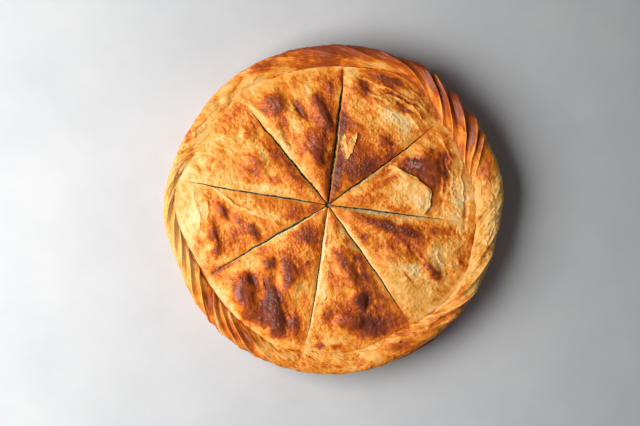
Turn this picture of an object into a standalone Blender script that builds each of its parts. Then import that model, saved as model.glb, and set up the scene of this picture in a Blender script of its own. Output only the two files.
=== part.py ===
"""A whole round spanakopita: a spinach and cheese pie baked in pastry, scored into eight wedges.

Three solids, in metres, +Z up, with the origin under the middle of the pie on the surface it
stands on. +Y is the far side of the pie when it is seen from above.

crust    the pastry case: floor, side wall and the twisted, pleated rim
filling  the spinach and cheese, which shows down in the knife cuts
lid      the top pastry, cut from the middle out almost to the rim, with its blisters
"""

import math

import bpy
import numpy as np

MM = 0.001

# Case
PIE_RADIUS = 150.0 * MM
MOUTH_RADIUS = 130.0 * MM
FLOOR_THICKNESS = 4.5 * MM
WALL_THICKNESS = 4.5 * MM
SIDE_TAPER = 7.5 * MM
SIDE_HEIGHT = 26.0 * MM
RIM_HEIGHT = 41.5 * MM
# Rounding where the floor meets the side, outside and inside
FOOT_REACH = 4.0 * MM
FOOT_HEIGHT = 2.5 * MM
INNER_FOOT_HEIGHT = 2.0 * MM
# Ledge inside the rim, which the lid fills: its lip above the lid's underside, its fall below it at
# the mouth and at the wall, how far the wall stands behind the mouth, and how far up its taper
LIP_HEIGHT = 0.8 * MM
LEDGE_FALL = 1.2 * MM
SHOULDER_FALL = 2.4 * MM
SHOULDER_REACH = 1.0 * MM
SHOULDER_CLIMB = 0.45
# Section of the rim from its outline in to its mouth: share of the way out, share of the climb from
# the lid's underside to the crest, and the same where the rim is flat and runs on from the lid
RIM_SECTION = [
    (1.0, 0.12, 0.10),
    (0.97, 0.50, 0.36),
    (0.84, 0.86, 0.60),
    (0.64, 1.0, 0.72),
    (0.42, 0.94, 0.72),
    (0.20, 0.68, 0.58),
    (0.04, 0.34, 0.36),
]
# Flat stretches of the rim: bearing and spread in degrees, and how flat, from 0 to 1
FLAT_STRETCHES = [(143, 22, 1.0), (268, 18, 0.7)]

# Places on the rim where the outline swells or draws in: bearing and spread in degrees, rise in mm
OUTLINE_SWELLS = [
    (10, 13, 5.6),
    (34, 12, 2.8),
    (58, 8, 3.6),
    (100, 22, -1.2),
    (147, 9, -1.4),
    (180, 12, 3.4),
    (200, 8, -1.5),
    (230, 12, 0.8),
    (268, 25, -0.4),
    (304, 24, -2.8),
]
# The same for the edge of the lid, which runs far out on the left, where the rim is narrow
MOUTH_SWELLS = [
    (62, 13, 6.0),
    (39, 6, -3.0),
    (24, 9, -4.0),
    (128, 10, 5.0),
    (150, 10, -1.0),
    (176, 18, 14.0),
    (232, 18, 1.5),
    (248, 8, 3.0),
    (298, 13, -5.5),
    (331, 12, 3.4),
]

# Burnt skirts that stand out of the side under the rim: bearing and spread in degrees, rise in mm
SKIRTS = [(304, 14, 2.6), (81, 5, 3.2), (106, 4, 3.2)]
SKIRT_BELOW = 0.35
SKIRT_ABOVE = 0.55
# Side wall's slow waves: number round the pie, phase in degrees, rise in mm
SIDE_WAVES = [(9, 40, 0.5), (14, 110, 0.4), (23, 200, 0.3)]

# Crests of the rim's folds, counter-clockwise: bearing at the mouth, bearing at the outline, which
# is further round because the folds lean, and depth in mm of the hollows beside it
FOLDS = [
    (6, 17, 0.8),
    (11.5, 26, 1.8),
    (15.5, 32, 2.4),
    (20.5, 43, 3.6),
    (32, 53, 4.2),
    (38.5, 58.5, 3.4),
    (50, 74, 2.6),
    (62, 90, 1.8),
    (76, 103, 1.4),
    (90, 116, 1.2),
    (103, 127, 1.2),
    (113, 134, 1.0),
    (123, 141, 1.0),
    (133, 149, 1.0),
    (142, 156, 1.0),
    (150, 163, 1.4),
    (156, 168, 1.4),
    (164, 176, 1.2),
    (173, 186, 1.8),
    (181, 197, 2.2),
    (188, 206, 2.8),
    (195, 213, 3.0),
    (203, 222.5, 3.6),
    (214.5, 227, 3.8),
    (218.5, 236, 3.0),
    (224, 243, 2.8),
    (233, 251, 1.8),
    (244, 261, 1.0),
    (257, 274, 0.8),
    (270, 286, 0.7),
    (281, 297, 0.7),
    (289, 308, 1.0),
    (297, 319, 1.6),
    (309, 331, 2.2),
    (319, 346, 2.2),
    (333, 354, 1.4),
    (346, 363, 0.9),
    (357, 370, 0.7),
]
FOLD_SHARPNESS = 1.6
# Shares of a half wave that a fold's depth follows from the mouth to the outline, and its power
FOLD_WAVE_START = 0.10
FOLD_WAVE_SPAN = 0.76
FOLD_WAVE_POWER = 0.7
# How far a fold's crest stands out past the outline, as a share of its height
FOLD_OUTWARD = 0.5
# Share of a fold's depth that lies below the level of the rim
FOLD_SINK = 0.45
# Bearing and spread in degrees, and rise in mm, of the high and low stretches of the rim
RIM_WAVES = [(48, 32, 2.0), (172, 30, -2.6), (225, 24, 1.0), (285, 22, -1.2), (330, 20, 0.8)]

# Lid
LID_MIDDLE = (-4.5 * MM, 4.0 * MM)
LID_THICKNESS = 3.2 * MM
LID_SEAT_HEIGHT = 33.6 * MM
LID_DOME = 2.6 * MM
LID_EDGE_DROP = 1.0 * MM
LID_EDGE_REACH = 0.06
GAP = 0.35 * MM
LID_EDGE_GAP = 0.6 * MM
# Share of the way out that a wedge's relief takes to rise from its tip, to sink towards the rim, and
# share of its width that it takes to rise from a cut
TIP_FADE = 0.12
RIM_FADE = 0.08
CUT_FADE = 0.07

# Filling: its gaps to the wall, the ledge and the mouth, the rounding at its foot, and its slow lumps
FILLING_WALL_GAP = 1.0 * MM
FILLING_LEDGE_GAP = 1.4 * MM
FILLING_LEDGE_FALL = 0.8 * MM
FILLING_MOUTH_GAP = 1.6 * MM
FILLING_FOOT_REACH = 4.0 * MM
FILLING_FOOT_HEIGHT = 2.4 * MM
FILLING_RELIEF = 0.5 * MM
FILLING_LUMPS = 7
FILLING_TWIST = 9.0
FILLING_RINGS = [0.94, 0.7, 0.4]

# Knife cuts, counter-clockwise from the right: bearing at the mouth, bend, widest gap, how far out
CUTS = [
    {"name": "right", "bearing": 354.4, "bend": 0.0, "gap": 1.5, "reach": 0.79},
    {"name": "upper_right", "bearing": 39.7, "bend": -1.3, "gap": 1.7, "reach": 0.955},
    {"name": "top", "bearing": 85.9, "bend": -1.0, "gap": 2.6, "reach": 0.955},
    {"name": "upper_left", "bearing": 129.0, "bend": 1.2, "gap": 2.1, "reach": 0.88},
    {"name": "left", "bearing": 168.9, "bend": 0.7, "gap": 1.4, "reach": 0.955},
    {"name": "lower_left", "bearing": 208.2, "bend": -0.5, "gap": 2.0, "reach": 0.955},
    {"name": "bottom", "bearing": 258.1, "bend": 1.6, "gap": 0.9, "reach": 0.955},
    {"name": "lower_right", "bearing": 303.8, "bend": 0.9, "gap": 1.2, "reach": 0.955},
]
# Puff of each wedge between its cuts in mm, named by the cut on its clockwise side
PUFF = {
    "right": 3.0,
    "upper_right": 3.2,
    "top": 3.8,
    "upper_left": 3.2,
    "left": 3.0,
    "lower_left": 3.6,
    "bottom": 3.4,
    "lower_right": 3.4,
}

BLISTER_SCALE = 1.6
# Blisters of each wedge in mm: x, y, half length, half width, turn in degrees, rise
BLISTERS = {
    "right": [
        (88, 37, 15, 9, -38, 3.0),
        (84, 52, 7, 6, 0, 1.4),
    ],
    "upper_right": [
        (22, 111, 9, 8, 20, 2.0),
        (44, 124, 14, 5, -20, 1.5),
        (53, 98, 10, 5, -35, 1.4),
        (46, 60, 5, 5, 0, 1.6),
    ],
    "top": [
        (-52, 97, 13, 9, -45, 2.3),
        (-10, 88, 15, 6, -65, 2.8),
        (-15, 47, 8, 8, 0, 2.8),
        (-13, 64, 10, 6, 70, 1.4),
        (-40, 66, 12, 5, -65, -1.6),
    ],
    "upper_left": [
        (-68, 43, 10, 7, -45, 2.0),
        (-75, 67, 6, 6, 0, 2.2),
        (-110, 50, 12, 7, 10, 1.4),
        (-34, 27, 9, 5, -42, 1.0),
    ],
    "left": [
        (-101, -1, 8, 5, -50, 2.0),
        (-107, -27, 14, 6, -78, 2.4),
        (-71, -20, 8, 5, -65, 1.8),
    ],
    "lower_left": [
        (-81, -76, 19, 11, -78, 3.6),
        (-52, -92, 22, 8, -78, 2.6),
        (-57, -48, 8, 7, 0, 2.4),
        (-40, -56, 16, 8, -75, 2.0),
        (-35, -105, 10, 5, 85, 1.4),
    ],
    "bottom": [
        (11, -52, 24, 8, -68, 1.9),
        (24, -82, 7, 7, 0, 3.6),
        (15, -101, 13, 8, 0, 3.0),
        (-7, -92, 8, 6, 0, 1.4),
    ],
    "lower_right": [
        (50, -15, 28, 6, -14, 2.4),
        (89, -54, 10, 6, -50, 2.2),
        (58, -52, 18, 14, 0, 1.8),
    ],
}
# Sheets of pastry lifted at one end, in mm: x, y, half length, half width, turn in degrees, rise
FLAKES = [
    (66, 14, 19, 16, -28, 2.2),
    (13, 57, 13, 5, 65, 1.6),
    (-74, 14, 34, 13, -28, 1.3),
]

# Mesh density
STEPS_PER_FOLD = 4
WEDGE_COLUMNS = 12
RINGS_PER_BAND = 3
# Shares of the way from the middle to the mouth where the lid's bands of rings begin and end
BAND_ENDS = [0.02, 0.12, 0.24, 0.36, 0.48, 0.60, 0.70, 0.79, 0.88, 0.955, 1.0]
FILLING_STEPS = 48
WELD_DISTANCE = 0.02 * MM

# Colours
RIM_PASTRY = (0.72, 0.38, 0.10)
LID_PASTRY = (0.78, 0.42, 0.12)
SPINACH = (0.10, 0.12, 0.03)


def turned(bearing, centre):
    """Signed angle in degrees from centre to bearing, between -180 and 180."""
    return (bearing - centre + 180.0) % 360.0 - 180.0


def swelling(bearing, swells):
    """Sum of smooth bumps around the pie, each exp(-(angle / spread)^2) times its rise."""
    total = np.zeros_like(bearing, dtype=float)
    for centre, spread, rise in swells:
        total += rise * MM * np.exp(-((turned(bearing, centre) / spread) ** 2))
    return total


def outline_radius(bearing):
    return PIE_RADIUS + swelling(bearing, OUTLINE_SWELLS)


def side_radius(bearing, climb):
    """Side wall, round at its foot as the tin was, and wavier towards the rim."""
    waves = sum(rise * np.sin(np.radians(n * bearing + phase)) for n, phase, rise in SIDE_WAVES)
    return PIE_RADIUS - SIDE_TAPER * (1 - climb) + climb * waves * MM


def mouth_radius(bearing):
    return MOUTH_RADIUS + swelling(bearing, MOUTH_SWELLS)


def ring_points(radius, height, bearing):
    """Points round the pie at a radius and height, which may change with the bearing."""
    angle = np.radians(bearing)
    return np.stack([radius * np.cos(angle), radius * np.sin(angle), height + 0 * angle], axis=1)


def folds_round():
    """Bearings at the mouth, leans and depths of the crests, with the first one again at the end."""
    crest, outer, depth = np.array(FOLDS + [(FOLDS[0][0] + 360, FOLDS[0][1] + 360, FOLDS[0][2])]).T
    return crest, outer - crest, depth * MM


def fold_columns():
    """Bearings at the mouth of the rim's columns of points: each crest, and even steps between."""
    crest = folds_round()[0]
    steps = np.arange(STEPS_PER_FOLD) / STEPS_PER_FOLD
    return (crest[:-1, None] + np.diff(crest)[:, None] * steps).ravel()


def fold_height(inside):
    """Sharp crests and round hollows, by the bearing at the mouth."""
    crest, _, depth = folds_round()
    fold = np.searchsorted(crest, inside, side="right") - 1
    phase = (inside - crest[fold]) / (crest[fold + 1] - crest[fold])
    depth_here = depth[fold] * (1 - phase) + depth[fold + 1] * phase
    return depth_here * (np.abs(2 * phase - 1) ** FOLD_SHARPNESS - FOLD_SINK)


def fold_weight(across):
    """Share of a fold's depth across the rim: nearly all of it on the crest, less at both edges."""
    return math.sin(math.pi * (FOLD_WAVE_START + FOLD_WAVE_SPAN * across)) ** FOLD_WAVE_POWER


def leaning(inside, across):
    """Bearing of a point on a fold, from the bearing where the fold meets the mouth."""
    crest, lean, _ = folds_round()
    return inside + np.interp(inside, crest, lean) * across


def crust_rings():
    """Rings of the case from the middle of its underside, up the side, over the rim and down inside.
    The columns of points lean with the folds from the mouth to the outline."""
    inside = fold_columns()
    outside = leaning(inside, 1.0)
    foot = side_radius(outside, 0.0)
    skirt = swelling(outside, SKIRTS)
    rings = [
        ring_points(0.5 * foot, 0.0, outside),
        ring_points(foot - FOOT_REACH, 0.0, outside),
        ring_points(foot, FOOT_HEIGHT, outside),
        ring_points(side_radius(outside, 0.35) + SKIRT_BELOW * skirt, 0.5 * SIDE_HEIGHT, outside),
        ring_points(side_radius(outside, 0.6) + skirt, SIDE_HEIGHT, outside),
    ]
    low = LID_SEAT_HEIGHT
    for across, round_rise, flat_rise in RIM_SECTION:
        bearing = leaning(inside, across)
        flat = swelling(bearing, FLAT_STRETCHES) / MM
        rise = round_rise + flat * (flat_rise - round_rise)
        mouth = mouth_radius(bearing)
        crest = RIM_HEIGHT + swelling(bearing, RIM_WAVES)
        fold = fold_height(inside) * fold_weight(across)
        radius = mouth + across * (outline_radius(bearing) - mouth + FOLD_OUTWARD * fold)
        if across == 1.0:
            radius = np.maximum(radius, side_radius(bearing, 0.8) + SKIRT_ABOVE * skirt)
        rings.append(ring_points(radius, low + rise * (crest - low) + fold, bearing))
    mouth = mouth_radius(inside)
    ledge = LID_SEAT_HEIGHT - GAP
    rings += [
        ring_points(mouth, LID_SEAT_HEIGHT + LIP_HEIGHT, inside),
        ring_points(mouth, ledge - LEDGE_FALL, inside),
        ring_points(shoulder_radius(mouth), ledge - SHOULDER_FALL, inside),
        ring_points(inner_wall_radius(0.0) + 0 * mouth, FLOOR_THICKNESS + INNER_FOOT_HEIGHT, inside),
        ring_points(inner_wall_radius(0.0) - FOOT_REACH + 0 * mouth, FLOOR_THICKNESS, inside),
    ]
    return rings


def inner_wall_radius(climb):
    return PIE_RADIUS - SIDE_TAPER * (1 - climb) - WALL_THICKNESS


def shoulder_radius(mouth):
    """Radius of the wall inside the case where it meets the ledge under the rim."""
    return np.maximum(inner_wall_radius(SHOULDER_CLIMB), mouth + SHOULDER_REACH)


def new_object(name, points, faces, colour, roughness):
    """A named object with its own material, from points in metres and faces facing outwards."""
    mesh = bpy.data.meshes.new(name)
    mesh.from_pydata([tuple(p) for p in points], [], [list(f) for f in faces])
    mesh.validate()
    body = bpy.data.objects.new(name, mesh)
    material = bpy.data.materials.new(name)
    material.use_nodes = True
    shader = material.node_tree.nodes["Principled BSDF"]
    shader.inputs["Base Color"].default_value = (*colour, 1.0)
    shader.inputs["Roughness"].default_value = roughness
    shader.inputs["Metallic"].default_value = 0.0
    mesh.materials.append(material)
    mesh.shade_smooth()
    mesh.set_sharp_from_angle(angle=math.radians(50))
    return body


def closed_turning(rings, steps, first_height, last_height):
    """Points and faces of a closed body of rings round the Z axis, with a pole at each end."""
    points = [(0.0, 0.0, first_height)]
    for ring in rings:
        points += [tuple(p) for p in ring]
    last = len(points)
    points.append((0.0, 0.0, last_height))
    faces = []
    for j in range(steps):
        after = (j + 1) % steps
        faces.append((0, 1 + after, 1 + j))
        for i in range(len(rings) - 1):
            low, high = 1 + i * steps, 1 + (i + 1) * steps
            faces.append((low + j, low + after, high + after, high + j))
        top = 1 + (len(rings) - 1) * steps
        faces.append((top + j, top + after, last))
    return points, faces


def make_crust():
    rings = crust_rings()
    points, faces = closed_turning(rings, len(rings[0]), 0.0, FLOOR_THICKNESS)
    return new_object("crust", points, faces, RIM_PASTRY, 0.55)


def lid_underside(share):
    """Height of the lid's smooth underside: a low dome, highest in the middle."""
    return LID_SEAT_HEIGHT + LID_DOME * (1 - share**2)


def make_filling():
    bearing = np.arange(FILLING_STEPS) * 360.0 / FILLING_STEPS
    mouth = mouth_radius(bearing)
    wall = inner_wall_radius(0.0) - FILLING_WALL_GAP + 0 * bearing
    base = FLOOR_THICKNESS + GAP
    shoulder = LID_SEAT_HEIGHT - GAP - SHOULDER_FALL
    rings = [
        (wall - FILLING_FOOT_REACH, base),
        (wall, base + FILLING_FOOT_HEIGHT),
        (shoulder_radius(mouth) - FILLING_LEDGE_GAP, shoulder - FILLING_LEDGE_FALL),
        (mouth - FILLING_MOUTH_GAP, shoulder),
    ]
    for share in FILLING_RINGS:
        lumps = FILLING_RELIEF * np.sin(np.radians(FILLING_LUMPS * bearing) + FILLING_TWIST * share)
        height = lid_underside(share) - GAP - FILLING_RELIEF + lumps
        rings.append((share * mouth, height))
    solid_rings = [ring_points(r, z, bearing) for r, z in rings]
    top = lid_underside(0.0) - GAP - FILLING_RELIEF
    points, faces = closed_turning(solid_rings, FILLING_STEPS, base, top)
    return new_object("filling", points, faces, SPINACH, 0.7)


def cut_gap(cut, share):
    """Width of a knife cut: full along most of it, half at the middle, and none past its reach."""
    along = np.clip(share / cut["reach"], 0, 1)
    return cut["gap"] * MM * (1 - along**4) * (0.5 + 0.5 * np.clip(along / 0.25, 0, 1))


def cut_bearing(cut, share):
    return cut["bearing"] + cut["bend"] * 4 * share * (1 - share)


def lid_place(bearing, share):
    """Straight lines from the middle of the cuts to the mouth of the case."""
    reach = mouth_radius(bearing) - LID_EDGE_GAP
    angle = np.radians(bearing)
    x = LID_MIDDLE[0] * (1 - share) + share * reach * np.cos(angle)
    y = LID_MIDDLE[1] * (1 - share) + share * reach * np.sin(angle)
    return x, y


def blister_height(x, y, blisters):
    """Sum of oval domes, each exp(-d^3), where d is the distance in its own half length and width."""
    total = np.zeros_like(x)
    for at_x, at_y, long, wide, turn, rise in blisters:
        along, aside = oval_axes(x, y, at_x * MM, at_y * MM, turn)
        distance = np.hypot(along / (long * MM), aside / (wide * MM))
        total += BLISTER_SCALE * rise * MM * np.exp(-(distance**3))
    return total


def oval_axes(x, y, at_x, at_y, turn):
    """Distances from a point along and across a direction turned from +X."""
    cos, sin = math.cos(math.radians(turn)), math.sin(math.radians(turn))
    return (x - at_x) * cos + (y - at_y) * sin, (y - at_y) * cos - (x - at_x) * sin


def flake_height(x, y):
    """Sheets that climb towards one end and stop there in a step."""
    total = np.zeros_like(x)
    for at_x, at_y, long, wide, turn, rise in FLAKES:
        along, aside = oval_axes(x, y, at_x * MM, at_y * MM, turn)
        along, aside = along / (long * MM), aside / (wide * MM)
        inside = 1 / (1 + np.exp(-(1 - np.maximum(along, np.abs(aside))) * 14))
        total += rise * MM * inside * np.clip(0.5 + 0.5 * along, 0, 1)
    return total


def lid_top(x, y, share, across, wedge):
    """Upper face: dome, the wedge's puff between its cuts, blisters, and the drop at the rim."""
    puff = PUFF[wedge] * MM * np.sin(math.pi * across) ** 0.7 * np.sin(math.pi * share**0.8) ** 0.6
    edge = LID_EDGE_DROP * np.exp(-(1 - share) / LID_EDGE_REACH)
    ends = np.clip(share / TIP_FADE, 0, 1) * np.clip((1 - share) / RIM_FADE, 0, 1)
    sides = np.clip(np.minimum(across, 1 - across) / CUT_FADE, 0, 1)
    bumps = blister_height(x, y, [b for group in BLISTERS.values() for b in group])
    bumps += flake_height(x, y)
    return lid_underside(share) + LID_THICKNESS + puff - edge + bumps * ends * sides


def make_lid():
    rings = [
        low + (high - low) * i / RINGS_PER_BAND
        for low, high in zip(BAND_ENDS, BAND_ENDS[1:])
        for i in range(RINGS_PER_BAND)
    ] + [BAND_ENDS[-1]]
    share, column = np.meshgrid(rings, np.arange(WEDGE_COLUMNS + 1), indexing="ij")
    across = (1 - np.cos(math.pi * column / WEDGE_COLUMNS)) / 2
    points, faces = [], []
    for k, cut in enumerate(CUTS):
        after = CUTS[(k + 1) % len(CUTS)]
        begin = cut_bearing(cut, share)
        span = (cut_bearing(after, share) - begin) % 360.0
        gap_before, gap_after = (
            np.degrees(0.5 * cut_gap(side, share) / (share * MOUTH_RADIUS)) for side in (cut, after)
        )
        bearing = begin + gap_before + across * (span - gap_before - gap_after)
        x, y = lid_place(bearing, share)
        top = np.stack([x, y, lid_top(x, y, share, across, cut["name"])], axis=2)
        bottom = np.stack([x, y, lid_underside(share)], axis=2)[::RINGS_PER_BAND, ::RINGS_PER_BAND]
        wedge_faces(points, faces, top, bottom, cut["reach"], after["reach"])
    lid = new_object("lid", points, faces, LID_PASTRY, 0.5)
    weld(lid)
    return lid


def wedge_faces(points, faces, top, bottom, reach_before, reach_after):
    """Adds one wedge: a fine upper face, a coarse underside, and walls at its tip, rim and cuts."""
    first_top = len(points)
    rows, columns = top.shape[:2]
    points += [tuple(p) for p in top.reshape(-1, 3)]
    first_bottom = len(points)
    low_rows, low_columns = bottom.shape[:2]
    points += [tuple(p) for p in bottom.reshape(-1, 3)]

    def at_top(i, j):
        return first_top + i * columns + j

    def at_bottom(i, j):
        return first_bottom + i * low_columns + j

    for i in range(rows - 1):
        for j in range(columns - 1):
            faces.append((at_top(i, j), at_top(i + 1, j), at_top(i + 1, j + 1), at_top(i, j + 1)))
    for i in range(low_rows - 1):
        for j in range(low_columns - 1):
            ring = (at_bottom(i, j), at_bottom(i, j + 1), at_bottom(i + 1, j + 1), at_bottom(i + 1, j))
            faces.append(ring)
    step = RINGS_PER_BAND
    for j in range(low_columns - 1):
        tip = [at_top(0, j * step + m) for m in range(step + 1)]
        faces.append((*tip, at_bottom(0, j + 1), at_bottom(0, j)))
        rim = [at_top(rows - 1, j * step + m) for m in range(step, -1, -1)]
        faces.append((*rim, at_bottom(low_rows - 1, j), at_bottom(low_rows - 1, j + 1)))
    for i in range(low_rows - 1):
        if BAND_ENDS[i + 1] <= reach_before:
            side = [at_top(i * step + m, 0) for m in range(step, -1, -1)]
            faces.append((*side, at_bottom(i, 0), at_bottom(i + 1, 0)))
        if BAND_ENDS[i + 1] <= reach_after:
            side = [at_top(i * step + m, columns - 1) for m in range(step + 1)]
            faces.append((*side, at_bottom(i + 1, low_columns - 1), at_bottom(i, low_columns - 1)))


def weld(body):
    """Joins the wedges where a cut has no width, past its reach."""
    modifier = body.modifiers.new("joined_past_the_cuts", "WELD")
    modifier.merge_threshold = WELD_DISTANCE


def centre_of(body):
    corners = np.array([v.co for v in body.data.vertices])
    return (corners.max(axis=0) + corners.min(axis=0)) / 2


def main():
    for old in list(bpy.data.objects):
        bpy.data.objects.remove(old)
    collection = bpy.data.collections.new("spanakopita")
    bpy.context.scene.collection.children.link(collection)
    bodies = [make_crust(), make_filling(), make_lid()]
    middle = centre_of(bodies[0])
    for body in bodies:
        for vertex in body.data.vertices:
            vertex.co.x -= middle[0]
            vertex.co.y -= middle[1]
        collection.objects.link(body)


main()
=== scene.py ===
"""Looks of a whole round spanakopita: blistered top pastry scored into eight, a twisted rim of
folded pastry, spinach and cheese down in the cuts, and the loose flakes that baking leaves.

Shapes are worked out in millimetres with +Z up, and scaled to metres when a mesh is made. Every
surface is a grid of two parameters, worked out as whole arrays."""

import math

import bpy
import numpy as np
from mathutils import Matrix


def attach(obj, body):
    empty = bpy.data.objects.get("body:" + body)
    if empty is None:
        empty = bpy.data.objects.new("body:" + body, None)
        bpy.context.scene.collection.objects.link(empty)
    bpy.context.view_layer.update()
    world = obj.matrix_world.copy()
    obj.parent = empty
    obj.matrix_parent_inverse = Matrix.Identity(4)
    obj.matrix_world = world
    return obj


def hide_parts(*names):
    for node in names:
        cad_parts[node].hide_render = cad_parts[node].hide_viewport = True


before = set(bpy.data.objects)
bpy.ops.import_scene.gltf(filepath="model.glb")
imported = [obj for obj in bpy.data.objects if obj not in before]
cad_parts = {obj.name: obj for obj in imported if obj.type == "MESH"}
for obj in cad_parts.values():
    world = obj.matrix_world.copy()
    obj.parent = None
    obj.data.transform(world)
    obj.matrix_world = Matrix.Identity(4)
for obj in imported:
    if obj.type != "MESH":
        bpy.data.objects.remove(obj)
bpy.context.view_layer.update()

MM = 0.001
BODY = "root"

# Case, as the solids have it
PIE_RADIUS = 150.0
MOUTH_RADIUS = 130.0
FLOOR_THICKNESS = 4.5
WALL_THICKNESS = 4.5
SIDE_TAPER = 7.5
SIDE_HEIGHT = 26.0
RIM_HEIGHT = 41.5
# Bearing and spread in degrees, and rise, of the places where the outline and the mouth swell
OUTLINE_SWELLS = [(10, 13, 5.6), (34, 12, 2.8), (58, 8, 3.6), (100, 22, -1.2), (147, 9, -1.4),
                  (180, 12, 3.4), (200, 8, -1.5), (230, 12, 0.8), (268, 25, -0.4), (304, 24, -2.8)]
MOUTH_SWELLS = [(62, 13, 6.0), (39, 6, -3.0), (24, 9, -4.0), (128, 10, 5.0), (150, 10, -1.0),
                (176, 18, 14.0), (232, 18, 1.5), (248, 8, 3.0), (298, 13, -5.5), (331, 12, 3.4)]
# Burnt skirts of pastry that stand out over the side: bearing, spread, reach
SKIRTS = [(304, 14, 2.6), (81, 5, 3.2), (106, 4, 3.2)]
# Share of a skirt's reach that grows evenly up the side; the rest comes in its upper half
SKIRT_BELOW = 0.35
# Waves of the side: how many go round the pie, phase in degrees, depth
SIDE_WAVES = [(9, 40, 0.5), (14, 110, 0.4), (23, 200, 0.3)]
# Places where the rim is higher or lower: bearing, spread, rise
RIM_WAVES = [(48, 32, 2.0), (172, 30, -2.6), (225, 24, 1.0), (285, 22, -1.2), (330, 20, 0.8)]
# Flat stretches of the rim: bearing and spread in degrees, and how flat, from 0 to 1
FLAT_STRETCHES = [(143, 22, 1.0), (268, 18, 0.7)]

# Crests of the rim's folds, counter-clockwise: bearing at the mouth, bearing at the outline, which
# is further round because the folds lean, and depth of the hollows beside it
FOLDS = [
    (6, 17, 0.8), (11.5, 26, 1.8), (15.5, 32, 2.4), (20.5, 43, 3.6), (32, 53, 4.2), (38.5, 58.5, 3.4),
    (50, 74, 2.6), (62, 90, 1.8), (76, 103, 1.4), (90, 116, 1.2), (103, 127, 1.2), (113, 134, 1.0),
    (123, 141, 1.0), (133, 149, 1.0), (142, 156, 1.0), (150, 163, 1.4), (156, 168, 1.4),
    (164, 176, 1.2), (173, 186, 1.8), (181, 197, 2.2), (188, 206, 2.8), (195, 213, 3.0),
    (203, 222.5, 3.6), (214.5, 227, 3.8), (218.5, 236, 3.0), (224, 243, 2.8), (233, 251, 1.8),
    (244, 261, 1.0), (257, 274, 0.8), (270, 286, 0.7), (281, 297, 0.7), (289, 308, 1.0),
    (297, 319, 1.6), (309, 331, 2.2), (319, 346, 2.2), (333, 354, 1.4), (346, 363, 0.9),
    (357, 370, 0.7),
]
FOLD_SHARPNESS = 1.6
FOLD_SINK = 0.45

# Lid
LID_MIDDLE = (-4.5, 4.0)
LID_THICKNESS = 3.2
LID_SEAT_HEIGHT = 33.6
LID_DOME = 2.6
LID_EDGE_DROP = 1.0
LID_EDGE_REACH = 0.06
GAP = 0.35
LID_EDGE_GAP = 0.6
# Thickness of a layer that shows on a cut face, and how far above the lid's underside a face ends
PASTRY_LAYER = 0.9
FACE_FOOT = 0.9
# Knife cuts counter-clockwise from the right. face_after is the width of the cut face that shows on
# the counter-clockwise side of the cut, and face_before that on its clockwise side. The two bake
# values say how dark those faces are drawn: their own browning, and painted shade where a face lies
# in shade. face_end is the share of the way out past which they are narrow.
CUTS = [
    {"name": "right", "bearing": 354.4, "bend": 0.0, "gap": 1.5, "reach": 0.79,
     "face_before": 3.0, "face_after": 0.5, "bake_and_shade_before": 0.10, "bake_and_shade_after": 0.5, "face_end": 0.8},
    {"name": "upper_right", "bearing": 39.7, "bend": -1.3, "gap": 1.7, "reach": 0.955,
     "face_before": 2.6, "face_after": 0.5, "bake_and_shade_before": 0.42, "bake_and_shade_after": 0.6, "face_end": 0.46},
    {"name": "top", "bearing": 85.9, "bend": -1.0, "gap": 2.6, "reach": 0.955,
     "face_before": 1.6, "face_after": 1.8, "bake_and_shade_before": 0.60, "bake_and_shade_after": 0.72, "face_end": 1.2},
    {"name": "upper_left", "bearing": 129.0, "bend": 1.2, "gap": 2.1, "reach": 0.88,
     "face_before": 1.6, "face_after": 0.8, "bake_and_shade_before": 0.26, "bake_and_shade_after": 0.30, "face_end": 1.2},
    {"name": "left", "bearing": 168.9, "bend": 0.7, "gap": 1.4, "reach": 0.955,
     "face_before": 0.7, "face_after": 0.7, "bake_and_shade_before": 0.10, "bake_and_shade_after": 0.10, "face_end": 1.2},
    {"name": "lower_left", "bearing": 208.2, "bend": -0.5, "gap": 2.0, "reach": 0.955,
     "face_before": 0.7, "face_after": 1.4, "bake_and_shade_before": 0.12, "bake_and_shade_after": 0.06, "face_end": 1.2},
    {"name": "bottom", "bearing": 258.1, "bend": 1.6, "gap": 0.9, "reach": 0.955,
     "face_before": 0.6, "face_after": 3.0, "bake_and_shade_before": 0.4, "bake_and_shade_after": 0.10, "face_end": 0.9},
    {"name": "lower_right", "bearing": 303.8, "bend": 0.9, "gap": 1.2, "reach": 0.955,
     "face_before": 1.0, "face_after": 1.8, "bake_and_shade_before": 0.45, "bake_and_shade_after": 0.10, "face_end": 0.8},
]
PUFF = {"right": 3.0, "upper_right": 3.2, "top": 3.8, "upper_left": 3.2, "left": 3.0,
        "lower_left": 3.6, "bottom": 3.4, "lower_right": 3.4}

BLISTER_SCALE = 1.6
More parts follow.
